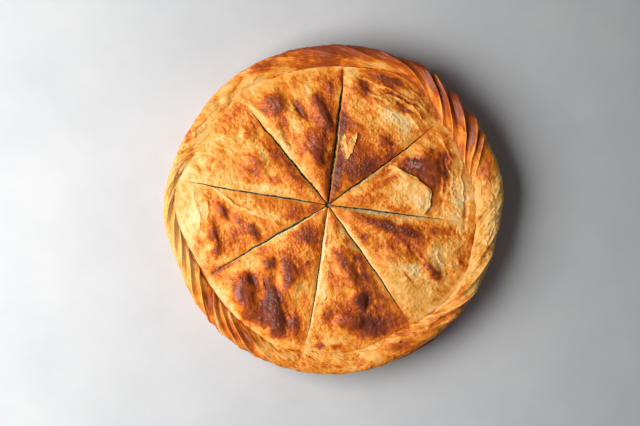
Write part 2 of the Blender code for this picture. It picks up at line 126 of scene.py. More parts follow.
# Blisters: x, y, half length, half width, turn in degrees, rise
BLISTERS = [
    (88, 37, 15, 9, -38, 3.0), (84, 52, 7, 6, 0, 1.4),
    (22, 111, 9, 8, 20, 2.0), (44, 124, 14, 5, -20, 1.5), (53, 98, 10, 5, -35, 1.4),
    (46, 60, 5, 5, 0, 1.6),
    (-52, 97, 13, 9, -45, 2.3), (-10, 88, 15, 6, -65, 2.8), (-15, 47, 8, 8, 0, 2.8),
    (-13, 64, 10, 6, 70, 1.4), (-40, 66, 12, 5, -65, -1.6),
    (-68, 43, 10, 7, -45, 2.0), (-75, 67, 6, 6, 0, 2.2), (-110, 50, 12, 7, 10, 1.4),
    (-34, 27, 9, 5, -42, 1.0),
    (-101, -1, 8, 5, -50, 2.0), (-107, -27, 14, 6, -78, 2.4), (-71, -20, 8, 5, -65, 1.8),
    (-81, -76, 19, 11, -78, 3.6), (-52, -92, 22, 8, -78, 2.6), (-57, -48, 8, 7, 0, 2.4),
    (-40, -56, 16, 8, -75, 2.0), (-35, -105, 10, 5, 85, 1.4),
    (11, -52, 24, 8, -68, 1.9), (24, -82, 7, 7, 0, 3.6), (15, -101, 13, 8, 0, 3.0),
    (-7, -92, 8, 6, 0, 1.4),
    (50, -15, 28, 6, -14, 2.4), (89, -54, 10, 6, -50, 2.2), (58, -52, 18, 14, 0, 1.8),
]
# Large sheets that climb towards one end, with the same values as a blister
FLAKES = [(66, 14, 19, 16, -28, 2.2), (13, 57, 13, 5, 65, 1.6), (-74, 14, 34, 13, -28, 1.3)]

# Share of a cut's gap that each of its two edges stands back
EDGE_SHARE = 0.4

# Mesh density
WEDGE_ROWS = 300
WEDGE_COLUMNS = 170
FACE_COLUMNS = 12
UNDER_COLUMNS = 9
RIM_STEPS = 1640
RIM_ROWS = 52
SIDE_STEPS = 720
FILLING_STEPS = 360
FILLING_ROWS = 110


def turned(bearing, centre):
    """Signed angle in degrees from centre to bearing, between -180 and 180."""
    return (bearing - centre + 180.0) % 360.0 - 180.0


def swelling(bearing, swells):
    """Sum of smooth bumps round the pie, each exp(-(angle / spread)^2) times its rise."""
    total = np.zeros_like(bearing, dtype=float)
    for centre, spread, rise in swells:
        total += rise * np.exp(-((turned(bearing, centre) / spread) ** 2))
    return total


def outline_radius(bearing):
    return PIE_RADIUS + swelling(bearing, OUTLINE_SWELLS)


def mouth_radius(bearing):
    return MOUTH_RADIUS + swelling(bearing, MOUTH_SWELLS)


def side_radius(bearing, climb):
    """Side wall, round at its foot as the tin was, and wavier towards the rim."""
    waves = sum(rise * np.sin(np.radians(n * bearing + phase)) for n, phase, rise in SIDE_WAVES)
    return PIE_RADIUS - SIDE_TAPER * (1 - climb) + climb * waves


def pie_middle():
    """Middle of the outline's box, which the solids were moved by to put their origin there."""
    bearing = np.arange(0, 360, 0.25)
    x = outline_radius(bearing) * np.cos(np.radians(bearing))
    y = outline_radius(bearing) * np.sin(np.radians(bearing))
    return (x.max() + x.min()) / 2, (y.max() + y.min()) / 2


SHIFT_X, SHIFT_Y = pie_middle()


def lattice_noise(x, y, z, size, seed):
    """Smooth noise from -1 to 1: random values on a cubic lattice, joined by 3t^2 - 2t^3."""
    table = np.random.default_rng(seed).uniform(-1, 1, (64, 64, 16))
    corner, part = [], []
    for value, cells in ((x, 64), (y, 64), (z, 16)):
        place = value / size + 1000.0
        low = np.floor(place)
        step = place - low
        corner.append((low.astype(int) % cells, (low.astype(int) + 1) % cells))
        part.append(step * step * (3 - 2 * step))
    total = np.zeros(np.broadcast(x, y, z).shape)
    for a in (0, 1):
        for b in (0, 1):
            for c in (0, 1):
                share = (part[0] if a else 1 - part[0]) * (part[1] if b else 1 - part[1])
                share = share * (part[2] if c else 1 - part[2])
                total += share * table[corner[0][a], corner[1][b], corner[2][c]]
    return total


def cloudy(x, y, z, size, seed, layers=3, keep=0.5):
    """Noise on noise: each layer is turned, half as wide as the last and weaker by keep."""
    total = 0.0
    strength, weight = 1.0, 0.0
    for layer in range(layers):
        cos, sin = math.cos(0.7 + 1.9 * layer), math.sin(0.7 + 1.9 * layer)
        turned_x, turned_y = x * cos - y * sin, x * sin + y * cos
        total = total + strength * lattice_noise(turned_x, turned_y, z, size / 2**layer, seed + layer)
        weight += strength
        strength *= keep
    return total / weight * 1.6


def bubbles(x, y, size, seed, share=0.7):
    """Small domes 1 - (d / r)^2, one at a random place in each square cell, where the cell has
    one. The tallest of the nine nearest counts."""
    draw = np.random.default_rng(seed)
    at_x, at_y = draw.uniform(0.15, 0.85, (2, 64, 64))
    radius = draw.uniform(0.28, 0.62, (64, 64)) * (draw.uniform(0, 1, (64, 64)) < share)
    rise = draw.uniform(0.4, 1.0, (64, 64))
    u, v = x / size + 500.0, y / size + 500.0
    low_u, low_v = np.floor(u), np.floor(v)
    best = np.zeros(np.broadcast(u, v).shape)
    for a in (-1, 0, 1):
        for b in (-1, 0, 1):
            i, j = (low_u + a).astype(int) % 64, (low_v + b).astype(int) % 64
            distance = np.hypot(u - low_u - a - at_x[i, j], v - low_v - b - at_y[i, j])
            reach = np.maximum(radius[i, j], 1e-6)
            best = np.maximum(best, rise[i, j] * (1 - (distance / reach) ** 2) * (radius[i, j] > 0))
    return best


def smooth_step(value, low, high):
    """0 below low, 1 above high, and 3t^2 - 2t^3 between them."""
    t = np.clip((value - low) / (high - low), 0, 1)
    return t * t * (3 - 2 * t)


def oval_axes(x, y, at_x, at_y, turn):
    """Distances from a point along and across a direction turned from +X."""
    cos, sin = math.cos(math.radians(turn)), math.sin(math.radians(turn))
    return (x - at_x) * cos + (y - at_y) * sin, (y - at_y) * cos - (x - at_x) * sin


def ovals(x, y, rows, power=3.0, ragged=0.0, seed=0):
    """Sum of soft ovals, each exp(-d^power) times its strength, with edges pushed by noise."""
    push = 1 + ragged * cloudy(x, y, 0 * x, 9.0, 60 + seed, layers=3, keep=0.6) if ragged else 1.0
    total = np.zeros(np.broadcast(x, y).shape)
    for at_x, at_y, long, wide, turn, strength in rows:
        along, aside = oval_axes(x, y, at_x, at_y, turn)
        total += strength * np.exp(-((np.hypot(along / long, aside / wide) * push) ** power))
    return total


def along_line(x, y, points):
    """Distance to a chain of straight lines, the side it lies on, and how far along it is."""
    nearest = np.full(np.broadcast(x, y).shape, 1e9)
    side = np.ones_like(nearest)
    place = np.zeros_like(nearest)
    for k, (start, end) in enumerate(zip(points, points[1:])):
        run_x, run_y = end[0] - start[0], end[1] - start[1]
        t = ((x - start[0]) * run_x + (y - start[1]) * run_y) / (run_x**2 + run_y**2)
        t = np.clip(t, 0, 1)
        off_x, off_y = x - start[0] - t * run_x, y - start[1] - t * run_y
        distance = np.hypot(off_x, off_y)
        closer = distance < nearest
        nearest = np.where(closer, distance, nearest)
        side = np.where(closer, np.sign(run_x * off_y - run_y * off_x), side)
        place = np.where(closer, (k + t) / (len(points) - 1), place)
    return nearest, side, place


# Sheets of the top pastry that end in an edge: points, height of the edge, and how much the
# left side of the line stands above its right side
SHEET_EDGES = [
    ([(-110, 22), (-103.5, 17.5), (-88, 2.5), (-76, -1.5), (-64, -5), (-53, -11), (-47, -19)], 0.8, 1.4),
    ([(55, 40), (62, 35), (69.6, 28.6), (77, 25), (83, 21.4), (87.7, 14.1), (87.2, 7.9), (85, 0.3),
      (80, -7)], 0.4, -1.2),
    ([(50, 104), (55, 103), (62, 97), (70, 94), (78, 90.5), (80, 83)], 0.8, 1.1),
    ([(29, 108), (36, 103), (41, 101), (48, 98), (54, 94)], 0.8, -0.8),
    ([(64, 88.5), (69, 84), (72, 80), (75, 76), (78, 71)], 0.7, 1.2),
    ([(-113, 61), (-105, 58), (-98, 56), (-89, 50)], 0.8, 0.7),
    ([(38, -46), (50, -51), (63, -53), (76, -58), (86, -64), (101, -69)], 0.4, 0.6),
    ([(95, -39), (97.5, -44), (101.6, -49.3), (110, -50)], 0.6, -0.9),
    ([(-37.5, 74), (-36, 70), (-36, 66), (-39, 59.6)], 1.1, -0.5),
    ([(-47, 57), (-40, 57), (-33, 59)], 0.8, 0.5),
    ([(-86, 99), (-76, 95), (-66, 86), (-58, 79)], 0.5, 0.5),
    ([(-126, 18), (-124, 6), (-121, -8), (-122, -22)], 0.9, 0.5),
    ([(-113, 12), (-112, 0), (-113, -14)], 0.7, -0.5),
    ([(101, 52), (103, 40), (108, 30), (107, 18), (110, 6)], 0.6, 0.6),
    ([(6, 130), (22, 131), (38, 129), (54, 124), (66, 117)], 0.9, -0.6),
    ([(-56, 121), (-44, 124), (-28, 127), (-12, 128)], 0.8, -0.5),
    ([(22, 119), (31, 117), (40, 111), (47, 108), (56, 108)], 1.2, 1.0),
    ([(62, 117), (70, 108), (78, 102), (86, 91)], 1.2, -1.1),
    ([(40, 110), (52, 108), (60, 103), (68, 99), (77, 96), (88, 84)], 1.0, 1.2),
    ([(34, 91), (43, 92), (52, 88), (60, 87)], 0.9, 0.8),
    ([(94, 66), (101, 58), (106, 46), (104, 38)], 1.0, 0.9),
    ([(113, 54), (117, 42), (115, 30), (119, 18), (117, 6)], 1.1, -0.9),
    ([(98, 30), (101, 20), (99, 8)], 0.9, 0.8), ([(112, 70), (106, 64), (98, 62)], 0.8, 0.7),
    ([(-114, 78), (-104, 84), (-96, 94), (-90, 100)], 1.0, 0.8),
    ([(-128, 44), (-120, 50), (-110, 50), (-101, 46)], 1.0, 0.9),
    ([(-106, 62), (-98, 66), (-92, 64), (-86, 58)], 0.9, 0.7),
]
# Narrow hollows: x, y, half length, half width, turn, depth
HOLLOWS = [
    (-32, 91, 7, 1.2, -55, 1.5), (-23, 84, 7, 1.5, -70, 1.2), (68.6, -61, 7, 1.3, -50, 1.6),
    (-42, 68, 9, 3.4, -62, 1.8), (119.7, -3, 12, 1.8, 86, 2.2), (88, -5, 5, 3.4, -10, 2.6),
    (-74, -62, 5, 3.0, -70, 2.8), (-70, -72, 12, 2.6, -84, 2.2), (-64, -76, 10, 3.0, -80, 2.0),
    (-60, -70, 8, 1.6, -75, 1.4), (-120, 37, 5, 1.6, -70, 1.0), (-86, 30, 6, 2.0, -65, 1.0),
    (-56, 30, 7, 2.0, -60, 1.0), (-47, 27, 5, 1.6, -55, 0.9), (-103, -27, 12, 1.6, -74, 1.3),
    (100, 12, 14, 2.0, 80, 0.9), (78, 31, 12, 1.8, -42, 1.4), (-66, 22, 5, 1.6, -70, 0.8),
    (-98, 24, 6, 1.8, -60, 0.8), (-8, 45, 6, 2.0, -75, 1.6), (-3, 86, 12, 1.8, -68, 1.3),
    (31, -84, 6, 1.6, 80, 1.4), (-47, -84, 18, 1.8, -72, 1.4), (76, -42, 10, 1.4, -52, 1.1),
    (70, -36, 8, 1.2, -60, 0.9), (-96, -3, 6, 1.4, -60, 1.0), (-33, -52, 9, 1.5, -70, 1.0),
]
# Browning and painted shade of the lid: x, y, half length, half width, turn, strength; below 0 is paler
BROWNING_AND_SHADE = {
    "top": [
        (-53, 95, 14, 10, -55, 0.30), (-50, 86, 12, 5, -65, 0.16), (-11, 92, 15, 5.0, -66, 0.46),
        (-4, 78, 10, 4, -66, 0.34), (-29, 88, 9, 2.4, -58, 0.26), (-14, 47, 9, 8, -60, 0.36),
        (-9, 45, 7, 4, -70, 0.24), (-20, 56, 9, 6, -60, 0.20), (-11, 62, 26, 8, -78, 0.26),
        (-7, 26, 16, 5.5, -75, 0.36), (-38, 71, 13, 3, -62, 0.22), (-2, 104, 18, 5, 85, 0.16),
        (-36, 80, 12, 4, -60, -0.22), (-72, 104, 10, 6, -20, -0.10), (-47, 60, 18, 3, -48, -0.30),
        (-66, 84, 14, 3.4, -40, -0.28), (-25, 108, 16, 6, 5, -0.12), (-27, 40, 8, 3, -45, -0.14),
        (-36, 108, 14, 6, 0, -0.04), (-26, 98, 8, 4, -50, -0.14), (-19, 29, 14, 2.0, -50, -0.16),
    ],
    "upper_left": [
        (-77, 67, 4.5, 5.5, 0, 0.36), (-67, 44, 9, 5, -52, 0.28), (-34, 26, 9, 4.5, -42, 0.30),
        (-48, 46, 24, 4, -47, 0.26), (-80, 84, 16, 7, -50, 0.16), (-120, 38, 4, 2, -70, 0.20),
        (-108, 46, 3, 2, -60, 0.16), (-121, 28, 13, 13, 0, -0.34), (-95, 34, 16, 8, -20, -0.08),
        (-78, 20, 22, 4, -12, -0.26), (-60, 19, 14, 3, -8, -0.22), (-90, 74, 6, 5, 0, -0.14),
        (-104, 66, 16, 5, 25, -0.18), (-52, 26, 5, 3, -50, 0.18), (-100, 56, 10, 2.4, -25, 0.18),
        (-83, 67, 3.0, 6, 0, -0.22), (-75, 55, 12, 3, 5, -0.14), (-92, 86, 10, 6, 50, 0.10),
    ],
    "left": [
        (-101, -1, 8, 4.5, -50, 0.40), (-107, -26, 14, 5, -76, 0.34), (-71, -19, 8, 3.6, -66, 0.32),
        (-128, -6, 13, 24, 0, -0.42), (-114, 2, 10, 14, 0, -0.24), (-120, -42, 10, 8, 30, -0.16),
        (-74, 5, 26, 3.6, -22, -0.14), (-58, -6, 20, 2.4, -20, -0.24), (-40, 4, 16, 6, -20, 0.12),
        (-86, -30, 12, 12, 0, 0.10), (-112, 4, 8, 1.6, -80, 0.20), (-109, -33, 3, 2.5, 0, -0.36),
        (-100, -46, 14, 4, 28, -0.16), (-122, -28, 4, 2.4, -60, 0.20), (-88, -8, 14, 5, -20, 0.06),
    ],
    "lower_left": [
        (-82, -79, 22, 10.5, -76, 0.62), (-74, -62, 6, 4.5, -60, 0.44), (-66, -97, 15, 7, -10, 0.52),
        (-53, -89, 25, 7.5, -74, 0.62), (-50, -108, 9, 6, -60, 0.46), (-56.5, -48, 6.5, 6, 0, 0.40),
        (-40, -55, 14, 7, -76, 0.34), (-22, -22, 9, 6, -20, 0.34), (-22, -48, 3, 2.5, 0, 0.30),
        (-39, -104, 3, 9, 0, 0.32), (-33, -105, 2.6, 11, 0, 0.34), (-86, -52, 8, 6, 20, -0.16),
        (-73, -47, 8, 5, 20, -0.24), (-103, -76, 9, 16, 50, -0.26), (-27, -84, 8, 14, 0, -0.10),
        (-65, -68, 3.0, 9, 0, -0.34), (-60, -116, 18, 3.4, -38, -0.06), (-9, -50, 30, 3, 80, -0.16),
        (-88, -98, 14, 3.4, -42, -0.16), (-50, -26, 30, 3, 28, -0.18), (-47, -64, 3, 5, 0, -0.18),
    ],
    "bottom": [
        (16, -55, 25, 6.5, -58, 0.40), (24.5, -82, 7.5, 7, 0, 0.62), (25, -103, 20, 7.0, -5, 0.50),
        (31, -104, 7, 5, 0, 0.24), (-4, -95, 9, 7, 20, 0.36), (20, -92, 14, 7, 0, 0.26),
        (12, -28, 4, 3.6, 0, 0.28), (2, -13, 7, 3, -70, 0.16), (52, -95, 10, 12, 30, 0.16),
        (36, -66, 26, 4, -54, 0.22), (-1, -70, 7, 12, 0, -0.04), (-11, -122.6, 4, 3, 0, 0.34),
        (1, -123, 5, 3, 0, 0.26), (-12, -130, 18, 3, -8, -0.20), (-9, -72, 44, 3, 82, -0.34),
        (22, -125, 12, 4, 10, 0.06), (2, -34, 5, 5, 0, -0.14), (-8, -108, 4, 12, 0, -0.14),
        (42, -88, 4, 3, 0, 0.20), (-2, -60, 5, 9, 10, 0.12),
    ],
    "lower_right": [
        (55, -16.5, 32, 5.0, -16, 0.36), (33, -10, 12, 4, -14, 0.12), (70, -21, 12, 4, -14, 0.16),
        (57, -31, 26, 9, -18, 0.18), (28, -25, 5, 5, 0, 0.28), (91, -57, 11, 3.8, -48, 0.46),
        (70, -76, 34, 16, -30, -0.16), (106, -37, 10, 8, 0, -0.06), (118, -52, 6, 2.4, -60, 0.18),
        (69, -61, 6, 1.5, -50, 0.28), (80, -90, 20, 9, -30, -0.08), (60, -96, 10, 10, 0, -0.06),
        (76, -38, 13, 3, -46, 0.16), (101, -64, 6, 2.6, -45, -0.12), (84, -46, 18, 3, -45, 0.14),
        (98, -20, 16, 4, -6, 0.24), (24, -32, 24, 2.8, -55, -0.32), (44, -27, 6, 5, 0, 0.10),
    ],
    "right": [
        (78, 35, 14, 5.5, -48, 0.46), (88, 43, 12, 8, -20, 0.44), (98, 46, 8, 7, 0, 0.36),
        (93, 28, 5.5, 11, 0, 0.28), (38, 20, 28, 3.6, 28, 0.26), (34, 10, 26, 4, -4, 0.18),
        (58, 2, 24, 4, -6, 0.26), (70, 17, 15, 9, -30, -0.26), (116, 20, 12, 16, 0, -0.12),
        (119.7, -2, 12, 2.2, 86, 0.38), (127, 30.6, 3, 3, 0, 0.24), (76, 53, 8, 4, 30, -0.22),
        (104, 12, 8, 10, 0, -0.10), (94, 10, 3.6, 10, 10, 0.22), (110, 50, 8, 12, 30, -0.04),
        (88, -5, 5.5, 3.6, 0, 0.10), (78, 8, 8, 5, -30, -0.10), (52, 36, 12, 2.2, 32, 0.20),
    ],
    "upper_right": [
        (24, 109, 8, 8, 20, 0.34), (47, 121, 14, 4.0, -14, 0.52), (62, 79, 15, 6.5, -38, -0.42),
        (44, 88, 10, 9, 0, -0.10), (72, 100, 14, 9, -45, 0.10), (36, 40, 26, 10, 36, 0.34),
        (20, 36, 12, 8, 50, 0.26), (46, 60, 4.6, 5.5, 0, 0.24), (12, 80, 5, 9, 0, 0.26),
        (34, 96, 5, 10, 20, 0.10), (8, 100, 6, 18, 0, -0.14), (12, 129, 14, 3, 5, -0.24),
        (58, 60, 12, 8, 20, 0.10), (84, 84, 5, 9, 0, 0.10), (60, 97, 12, 2.6, -35, 0.26),
        (26, 66, 6, 12, 10, 0.20), (14, 60, 9, 14, 0, 0.18), (40, 74, 10, 6, -30, -0.10),
    ],
}
# Smaller stains over those, on lid and rim alike, by quarter of the photo, some of them painted
# shade and painted highlight: x, y, half length, half width, turn, strength
FINE_STAINS_AND_PAINTED_LIGHT = [
    # top left of the photo
    (-98, 24, 13, 10, 0, -0.44), (-112, 2, 9, 11, 0, 0.24), (-121, 32, 8, 8, 0, 0.16),
    (-74, 21, 4, 8, 20, 0.28), (-71, 40, 5, 9, 0, 0.16), (-64, 48, 5, 6, -50, -0.4),
    (-60, 33, 3, 10, 0, -0.15), (-85, 14, 12, 4, -15, -0.18), (-36, 92, 3, 6, 0, -0.32),
    (-37, 68, 8, 3, 70, -0.12), (-48, 68, 5, 4, 0, -0.44), (-38, 76, 3, 10, 0, -0.2),
    (-42, 72, 9, 2.2, -62, 0.3), (-8, 110, 6, 8, 0, 0.32), (-30, 110, 6, 4, 0, 0.2),
    (-44, 108, 5, 6, 0, 0.14), (-50, 54, 20, 4.5, -48, 0.14), (-27, 53, 4, 5, 0, 0.3),
    (-8, 41, 3, 10, 0, -0.45), (-16, 58, 6, 6, 0, -0.16), (-60, 107, 10, 6, 0, -0.2),
    (-46, 124, 13, 3.4, 0, -0.28), (-91, 101, 8, 6, 0, -0.18), (-85, 110, 8, 5, 0, -0.14),
    (-137, 34, 5, 7, 0, -0.45), (-116, 54, 7, 8, 0, -0.14), (-147, 2, 3, 17, 0, -0.2),
    (-115, 72, 7, 6, 0, -0.2), (-103, 70, 5, 7, 0, 0.14), (-92, 50, 9, 6, 0, -0.16),
    (-79, 82, 3.5, 11, 8, -0.3), (-12, 129, 16, 3, 0, 0.2), (-1, 104, 3, 22, 4, 0.2),
    (-18, 32, 5, 12, -30, 0.1), (-2, 29, 3, 14, 0, 0.6), (-118, 71, 5, 14, -30, -0.26),
    (-60, 112, 14, 5, -20, -0.24), (-19, 108, 6, 5, 0, -0.25), (-16, 0, 8, 5, 40, 0.26),
    (-60, 128, 8, 3.5, 25, 0.4), (-137, 34, 4, 6, 0, -0.3),
    # top right
    (14, 143, 16, 5, 0, 0.34), (-10, 142, 7, 3, 0, 0.35), (46, 139, 14, 4, -20, 0.36),
    (68, 128, 14, 5, -45, 0.14), (89, 114, 12, 3, -66, 0.55), (98, 106, 10, 2.4, -65, 0.25),
    (115, 91, 9, 3.4, -70, 0.42), (126, 68, 8, 4, -76, 0.5), (133, 57, 3, 7, 0, 0.35),
    (140, 32, 5, 14, 0, 0.42), (132, -10, 4, 10, 0, 0.35), (87, 105, 3, 8, 0, -0.18),
    (95, 92, 18, 3.4, -66, -0.5), (103, 77, 3, 6, 0, -0.26), (113, 64, 4, 6, 0, -0.3),
    (150, 28, 3, 5, 0, -0.2), (52, 129, 16, 3, -20, -0.16), (22, 121, 12, 5, 0, -0.24),
    (5, 118, 3, 12, 0, 0.3), (19, 95, 5, 8, 0, -0.2), (38, 110, 5, 6, 0, -0.20),
    (54, 118, 18, 6, -15, 0.34), (65, 105, 4, 8, 40, -0.28), (52, 99, 4, 3, 0, -0.22),
    (55, 92, 6, 5, 0, 0.18), (70, 94, 6, 5, 0, 0.5), (68, 82, 4, 6, 0, 0.22),
    (73, 72, 5, 5, 0, 0.24), (86, 88, 6, 12, 0, 0.12), (62, 62, 7, 8, 0, -0.3),
    (55, 78, 6, 5, 0, -0.15), (42, 50, 6, 5, -30, -0.3), (8, 77, 4, 15, -4, 0.55),
    (17, 75, 5, 5, 0, 0.28), (26, 56, 9, 9, 0, 0.34), (30, 45, 9, 6, 0, 0.1),
    (6, 46, 5, 16, -6, 0.46), (13, 42, 6, 9, 0, 0.45), (4, 24, 4, 10, -8, 0.3),
    (22, 15, 14, 4, 25, -0.36), (75, 48, 8, 3.5, 0, -0.3), (91, 46, 9, 4, 0, -0.26),
    (85, 60, 6, 5, 0, -0.18), (57, 36, 7, 7, 0, -0.12), (80, 22, 12, 2.4, -46, 0.2),
    (70, 31, 14, 3, -35, 0.12), (101, 28, 4, 17, 0, 0.34), (110, 32, 3, 16, 0, -0.18),
    (118, 0, 6, 16, 0, -0.5), (60, 5, 14, 6, 0, -0.36), (80, 2, 5, 7, 0, -0.5),
    (71, -3, 4, 4, 0, 0.18), (20, 5, 8, 3, 0, 0.12), (103, 75, 6, 6, 0, -0.12),
    (142, 55, 22, 2.6, -63, -0.14), (19, 149, 11, 2.2, -6, 0.3), (40, 129.5, 24, 2.6, -12, -0.4),
    (38, 124, 20, 2.0, -8, 0.3), (27, 118, 3, 4, 0, 0.3), (52, 108, 8, 4, -45, 0.35),
    (58, 101, 4, 3, 0, 0.25), (23, 105, 5, 4, 0, -0.15), (73, 29, 17, 2.2, -38, 0.6),
    (57, 40, 4, 3, 0, -0.3), (85, 80, 5, 4, 0, -0.25), (104, 44, 3.4, 7, 0, 0.6),
    (93, 84, 3, 6, 0, 0.2), (76, -10, 6, 3, 0, -0.2),
    # bottom left
    (-140, -16, 9, 3, -65, -0.2), (-130, -42, 11, 4, -72, -0.35), (-123, -64, 13, 5, -68, -0.36),
    (-116, -85, 9, 3, -64, -0.28), (-102, -94, 6, 8, 0, -0.22), (-88, -93, 6, 11, 0, -0.44),
    (-77, -100, 8, 4, -20, -0.44), (-84, -121, 6, 3, -45, -0.3), (-64, -127, 9, 3, -20, -0.26),
    (-133, -25, 2.5, 6, 0, 0.16), (-124, -37, 3, 6, 0, 0.36), (-110, -37, 8, 7, 0, 0.3),
    (-138, -50, 2.5, 8, 0, 0.12), (-62, -106, 7, 5, 0, -0.26), (-56, -122, 7, 5, 0, -0.26),
    (-43, -132, 9, 5, 0, -0.34), (-86, -62, 5, 8, 0, -0.24), (-67, -68, 11, 6, -60, 0.5),
    (-62, -87, 8, 7, 0, 0.46), (-41, -67, 5, 6, 0, 0.42), (-49, -78, 5, 7, 0, 0.2),
    (-26, -81, 4, 7, 0, 0.26), (-37, -85, 3, 7, 0, -0.12), (-31, -117, 4, 12, 0, 0.16),
    (-50, -108, 4, 6, 0, 0.12), (-27, -55, 5, 8, 0, 0.34), (-36, -38, 6, 8, 0, 0.26),
    (-29, -27, 10, 7, 0, 0.36), (-14, -25, 7, 14, 0, 0.22), (-8, -31, 2.8, 13, -8, 0.5),
    (-20, -8, 8, 4, 30, 0.3), (-7, -12, 2.4, 8, 0, 0.3), (-44, -10, 6, 8, 0, 0.24),
    (-104, -10, 12, 4, 0, 0.12), (-58, -43, 4, 4, 0, -0.2), (-73, -32, 5, 5, 0, -0.26),
    (-73, -11, 10, 4, -35, -0.2), (-43, -55, 3, 6, 0, -0.15), (-65, -50, 6, 4, 0, -0.12),
    (-34, -127, 7, 3.5, -30, 0.36), (-14, -125, 7, 4, 0, 0.26), (-1, -120, 7, 4, 0, -0.34),
    (-20, -104, 2.5, 20, -8, -0.26), (-8, -132, 10, 5, 0, -0.22), (-112, -68, 5, 6, 0, -0.2),
    (-90, -73, 5, 7, 0, -0.25), (-84, -100, 3, 6, -50, 0.4), (-79, -90, 5, 9, 30, -0.3),
    (-72, -55, 5, 5, 0, -0.2), (-58, -82, 3, 12, 0, 0.3), (-20, -121, 6, 3, 0, -0.2),
    (-98, -52, 15, 2, 25, 0.3), (-36, -21, 8, 4, 20, 0.3), (0, -38, 6, 3, 0, 0.25),
    # bottom right
    (12, -22, 4, 7, 0, -0.5), (17, -34, 4, 6, 0, -0.22), (14, -49, 4, 8, 0, -0.26),
    (18, -62, 3, 7, 0, -0.42), (22, -84, 3, 4, 0, -0.14), (13, -50, 23, 8, -58, 0.2),
    (42, -74, 6, 5, 0, 0.15), (28, -50, 5, 6, 0, 0.14), (-4, -103, 9, 4, 0, 0.2),
    (50, -102, 9, 7, 0, 0.44), (43, -111, 15, 4, 0, 0.42), (65, -110, 7, 3, 0, 0.24),
    (60, -116.5, 9, 2.4, 10, -0.26), (22, -112, 6, 5, 0, 0.2), (6, -120, 5, 4, 0, -0.14),
    (55, -52, 6, 6, 0, -0.25), (66, -103, 4, 6, 0, 0.35), (44, -26, 6, 7, 0, -0.38),
    (55, -38, 7, 4, 0, -0.12), (31, -32, 4, 7, 0, 0.12), (94, -40, 8, 8, 0, -0.42),
    (94, -52, 4, 8, 0, -0.22), (74, -55, 6, 8, -40, -0.36), (83, -53, 3, 6, 0, 0.14),
    (93, -67, 8, 5, 0, -0.26), (110, -52, 6, 8, 0, -0.2), (64, -89, 13, 2.8, -58, -0.2),
    (72, -8, 16, 5, 0, -0.22), (95, -8, 8, 4, 0, -0.15), (71, -28, 8, 4, 0, 0.16),
    (92, -82, 6, 6, 0, 0.12), (112, -6, 6, 5, 0, -0.4), (129, -29, 5, 7, 0, 0.6),
    (124, -41, 5, 5, 0, 0.36), (134, -40, 3, 7, 0, 0.2), (119, -52, 5, 6, 0, 0.35),
    (117, -68, 6, 4, 0, -0.15), (147, -17, 3, 10, 0, -0.6), (112, -83, 15, 3.4, 38, -0.2),
    (95, -97, 8, 3, 36, -0.16), (82, -103, 9, 2.6, 10, -0.26), (38, -135, 8, 4, 0, -0.2),
    (27, -138, 8, 4, 0, 0.2), (85.5, -97.5, 5, 1.3, -38, 0.4), (140, -34, 4, 1.6, -30, 0.5),
    (123, -74.5, 10, 1.2, 42, -0.2),
    # top left again
    (-69, 114.5, 7, 3.4, 20, -0.2), (-124, 73, 4, 3, -20, 0.16), (-131, 65, 4, 3, -20, 0.16),
    (-128, 54, 13, 1.6, 18, 0.22),
]
# The darkest spots, and painted shade along some cuts: x, y, half length, half width, turn,
# strength
CHARRED_AND_CUT_SHADE = [
    (26, -82.5, 6, 6, 0, 0.12), (29, -104, 12, 5, 0, 0.08), (-74, -62, 4.5, 3.6, 0, 0.12),
    (-69, -74, 8, 2.2, -84, 0.10), (-52, -86, 17, 3.0, -74, 0.12), (-60, -70, 6, 2.0, -74, 0.10),
    (-7.5, 45, 5.5, 2.4, -72, 0.12), (-2, 83, 9, 2.4, -66, 0.10), (76, 38, 9, 2.2, -48, 0.08),
    (-104, -26, 10, 1.8, -74, 0.10), (56, -19, 20, 2.0, -16, 0.08), (93, -57, 9, 1.8, -48, 0.08),
    (-29, 88, 7, 1.1, -58, 0.12), (8.5, 122, 10, 1.2, 86, 0.4), (3.6, 48, 36, 2.6, 84.5, 0.28),
    (-58, -83, 11, 2.6, 86, 0.20), (-8.5, -29, 11, 2.4, 82, 0.25), (-86, -44, 18, 1.0, 26, 0.22),
]
# Sheets torn and peeling: x, y, half length, half width, turn, how much
FLAKY = [
    (112, 24, 18, 42, 0, 1.0), (84, 92, 24, 16, -45, 0.9), (-104, 66, 26, 14, 55, 0.9),
    (-84, 96, 16, 12, 30, 0.7), (-122, 10, 14, 34, 0, 0.7), (104, -50, 20, 26, -30, 0.8),
    (0, -122, 60, 8, 0, 0.8), (60, -104, 30, 7, 28, 0.6), (-60, 20, 40, 8, -14, 0.5),
    (30, 100, 30, 18, -10, 0.7), (62, 12, 22, 16, -30, 0.5), (70, -60, 36, 20, -35, 0.4),
    (-30, 118, 40, 8, 8, 0.7), (-110, -50, 20, 10, 40, 0.5),
]
LID_BASE_BAKE = 0.42
# Pastry that got little egg wash and stays dull and sandy: x, y, half length, half width, turn, how
# dull
DULL = [(70, -72, 36, 20, -30, 0.75), (106, -38, 12, 10, 0, 0.8), (62, 80, 14, 7, -38, 0.8),
        (74, 100, 14, 8, -45, 0.7), (72, 17, 17, 13, -30, 0.35), (112, 30, 16, 24, 0, 0.45),
        (-121, 20, 14, 20, 0, 0.3), (-100, 36, 20, 10, 0, 0.3), (85, 84, 8, 14, 0, 0.6),
        (-12, -132, 20, 6, 0, 0.5), (-75, 112, 8, 5, 0, 0.5), (45, 100, 22, 5, -35, 0.5)]


def lid_underside(share):
    return LID_SEAT_HEIGHT + LID_DOME * (1 - share**2)


def cut_gap(cut, share):
    """Width of a knife cut: full along most of it, half at the middle, and none past its reach."""
    along = np.clip(share / cut["reach"], 0, 1)
    return cut["gap"] * (1 - along**4) * (0.5 + 0.5 * np.clip(along / 0.25, 0, 1))


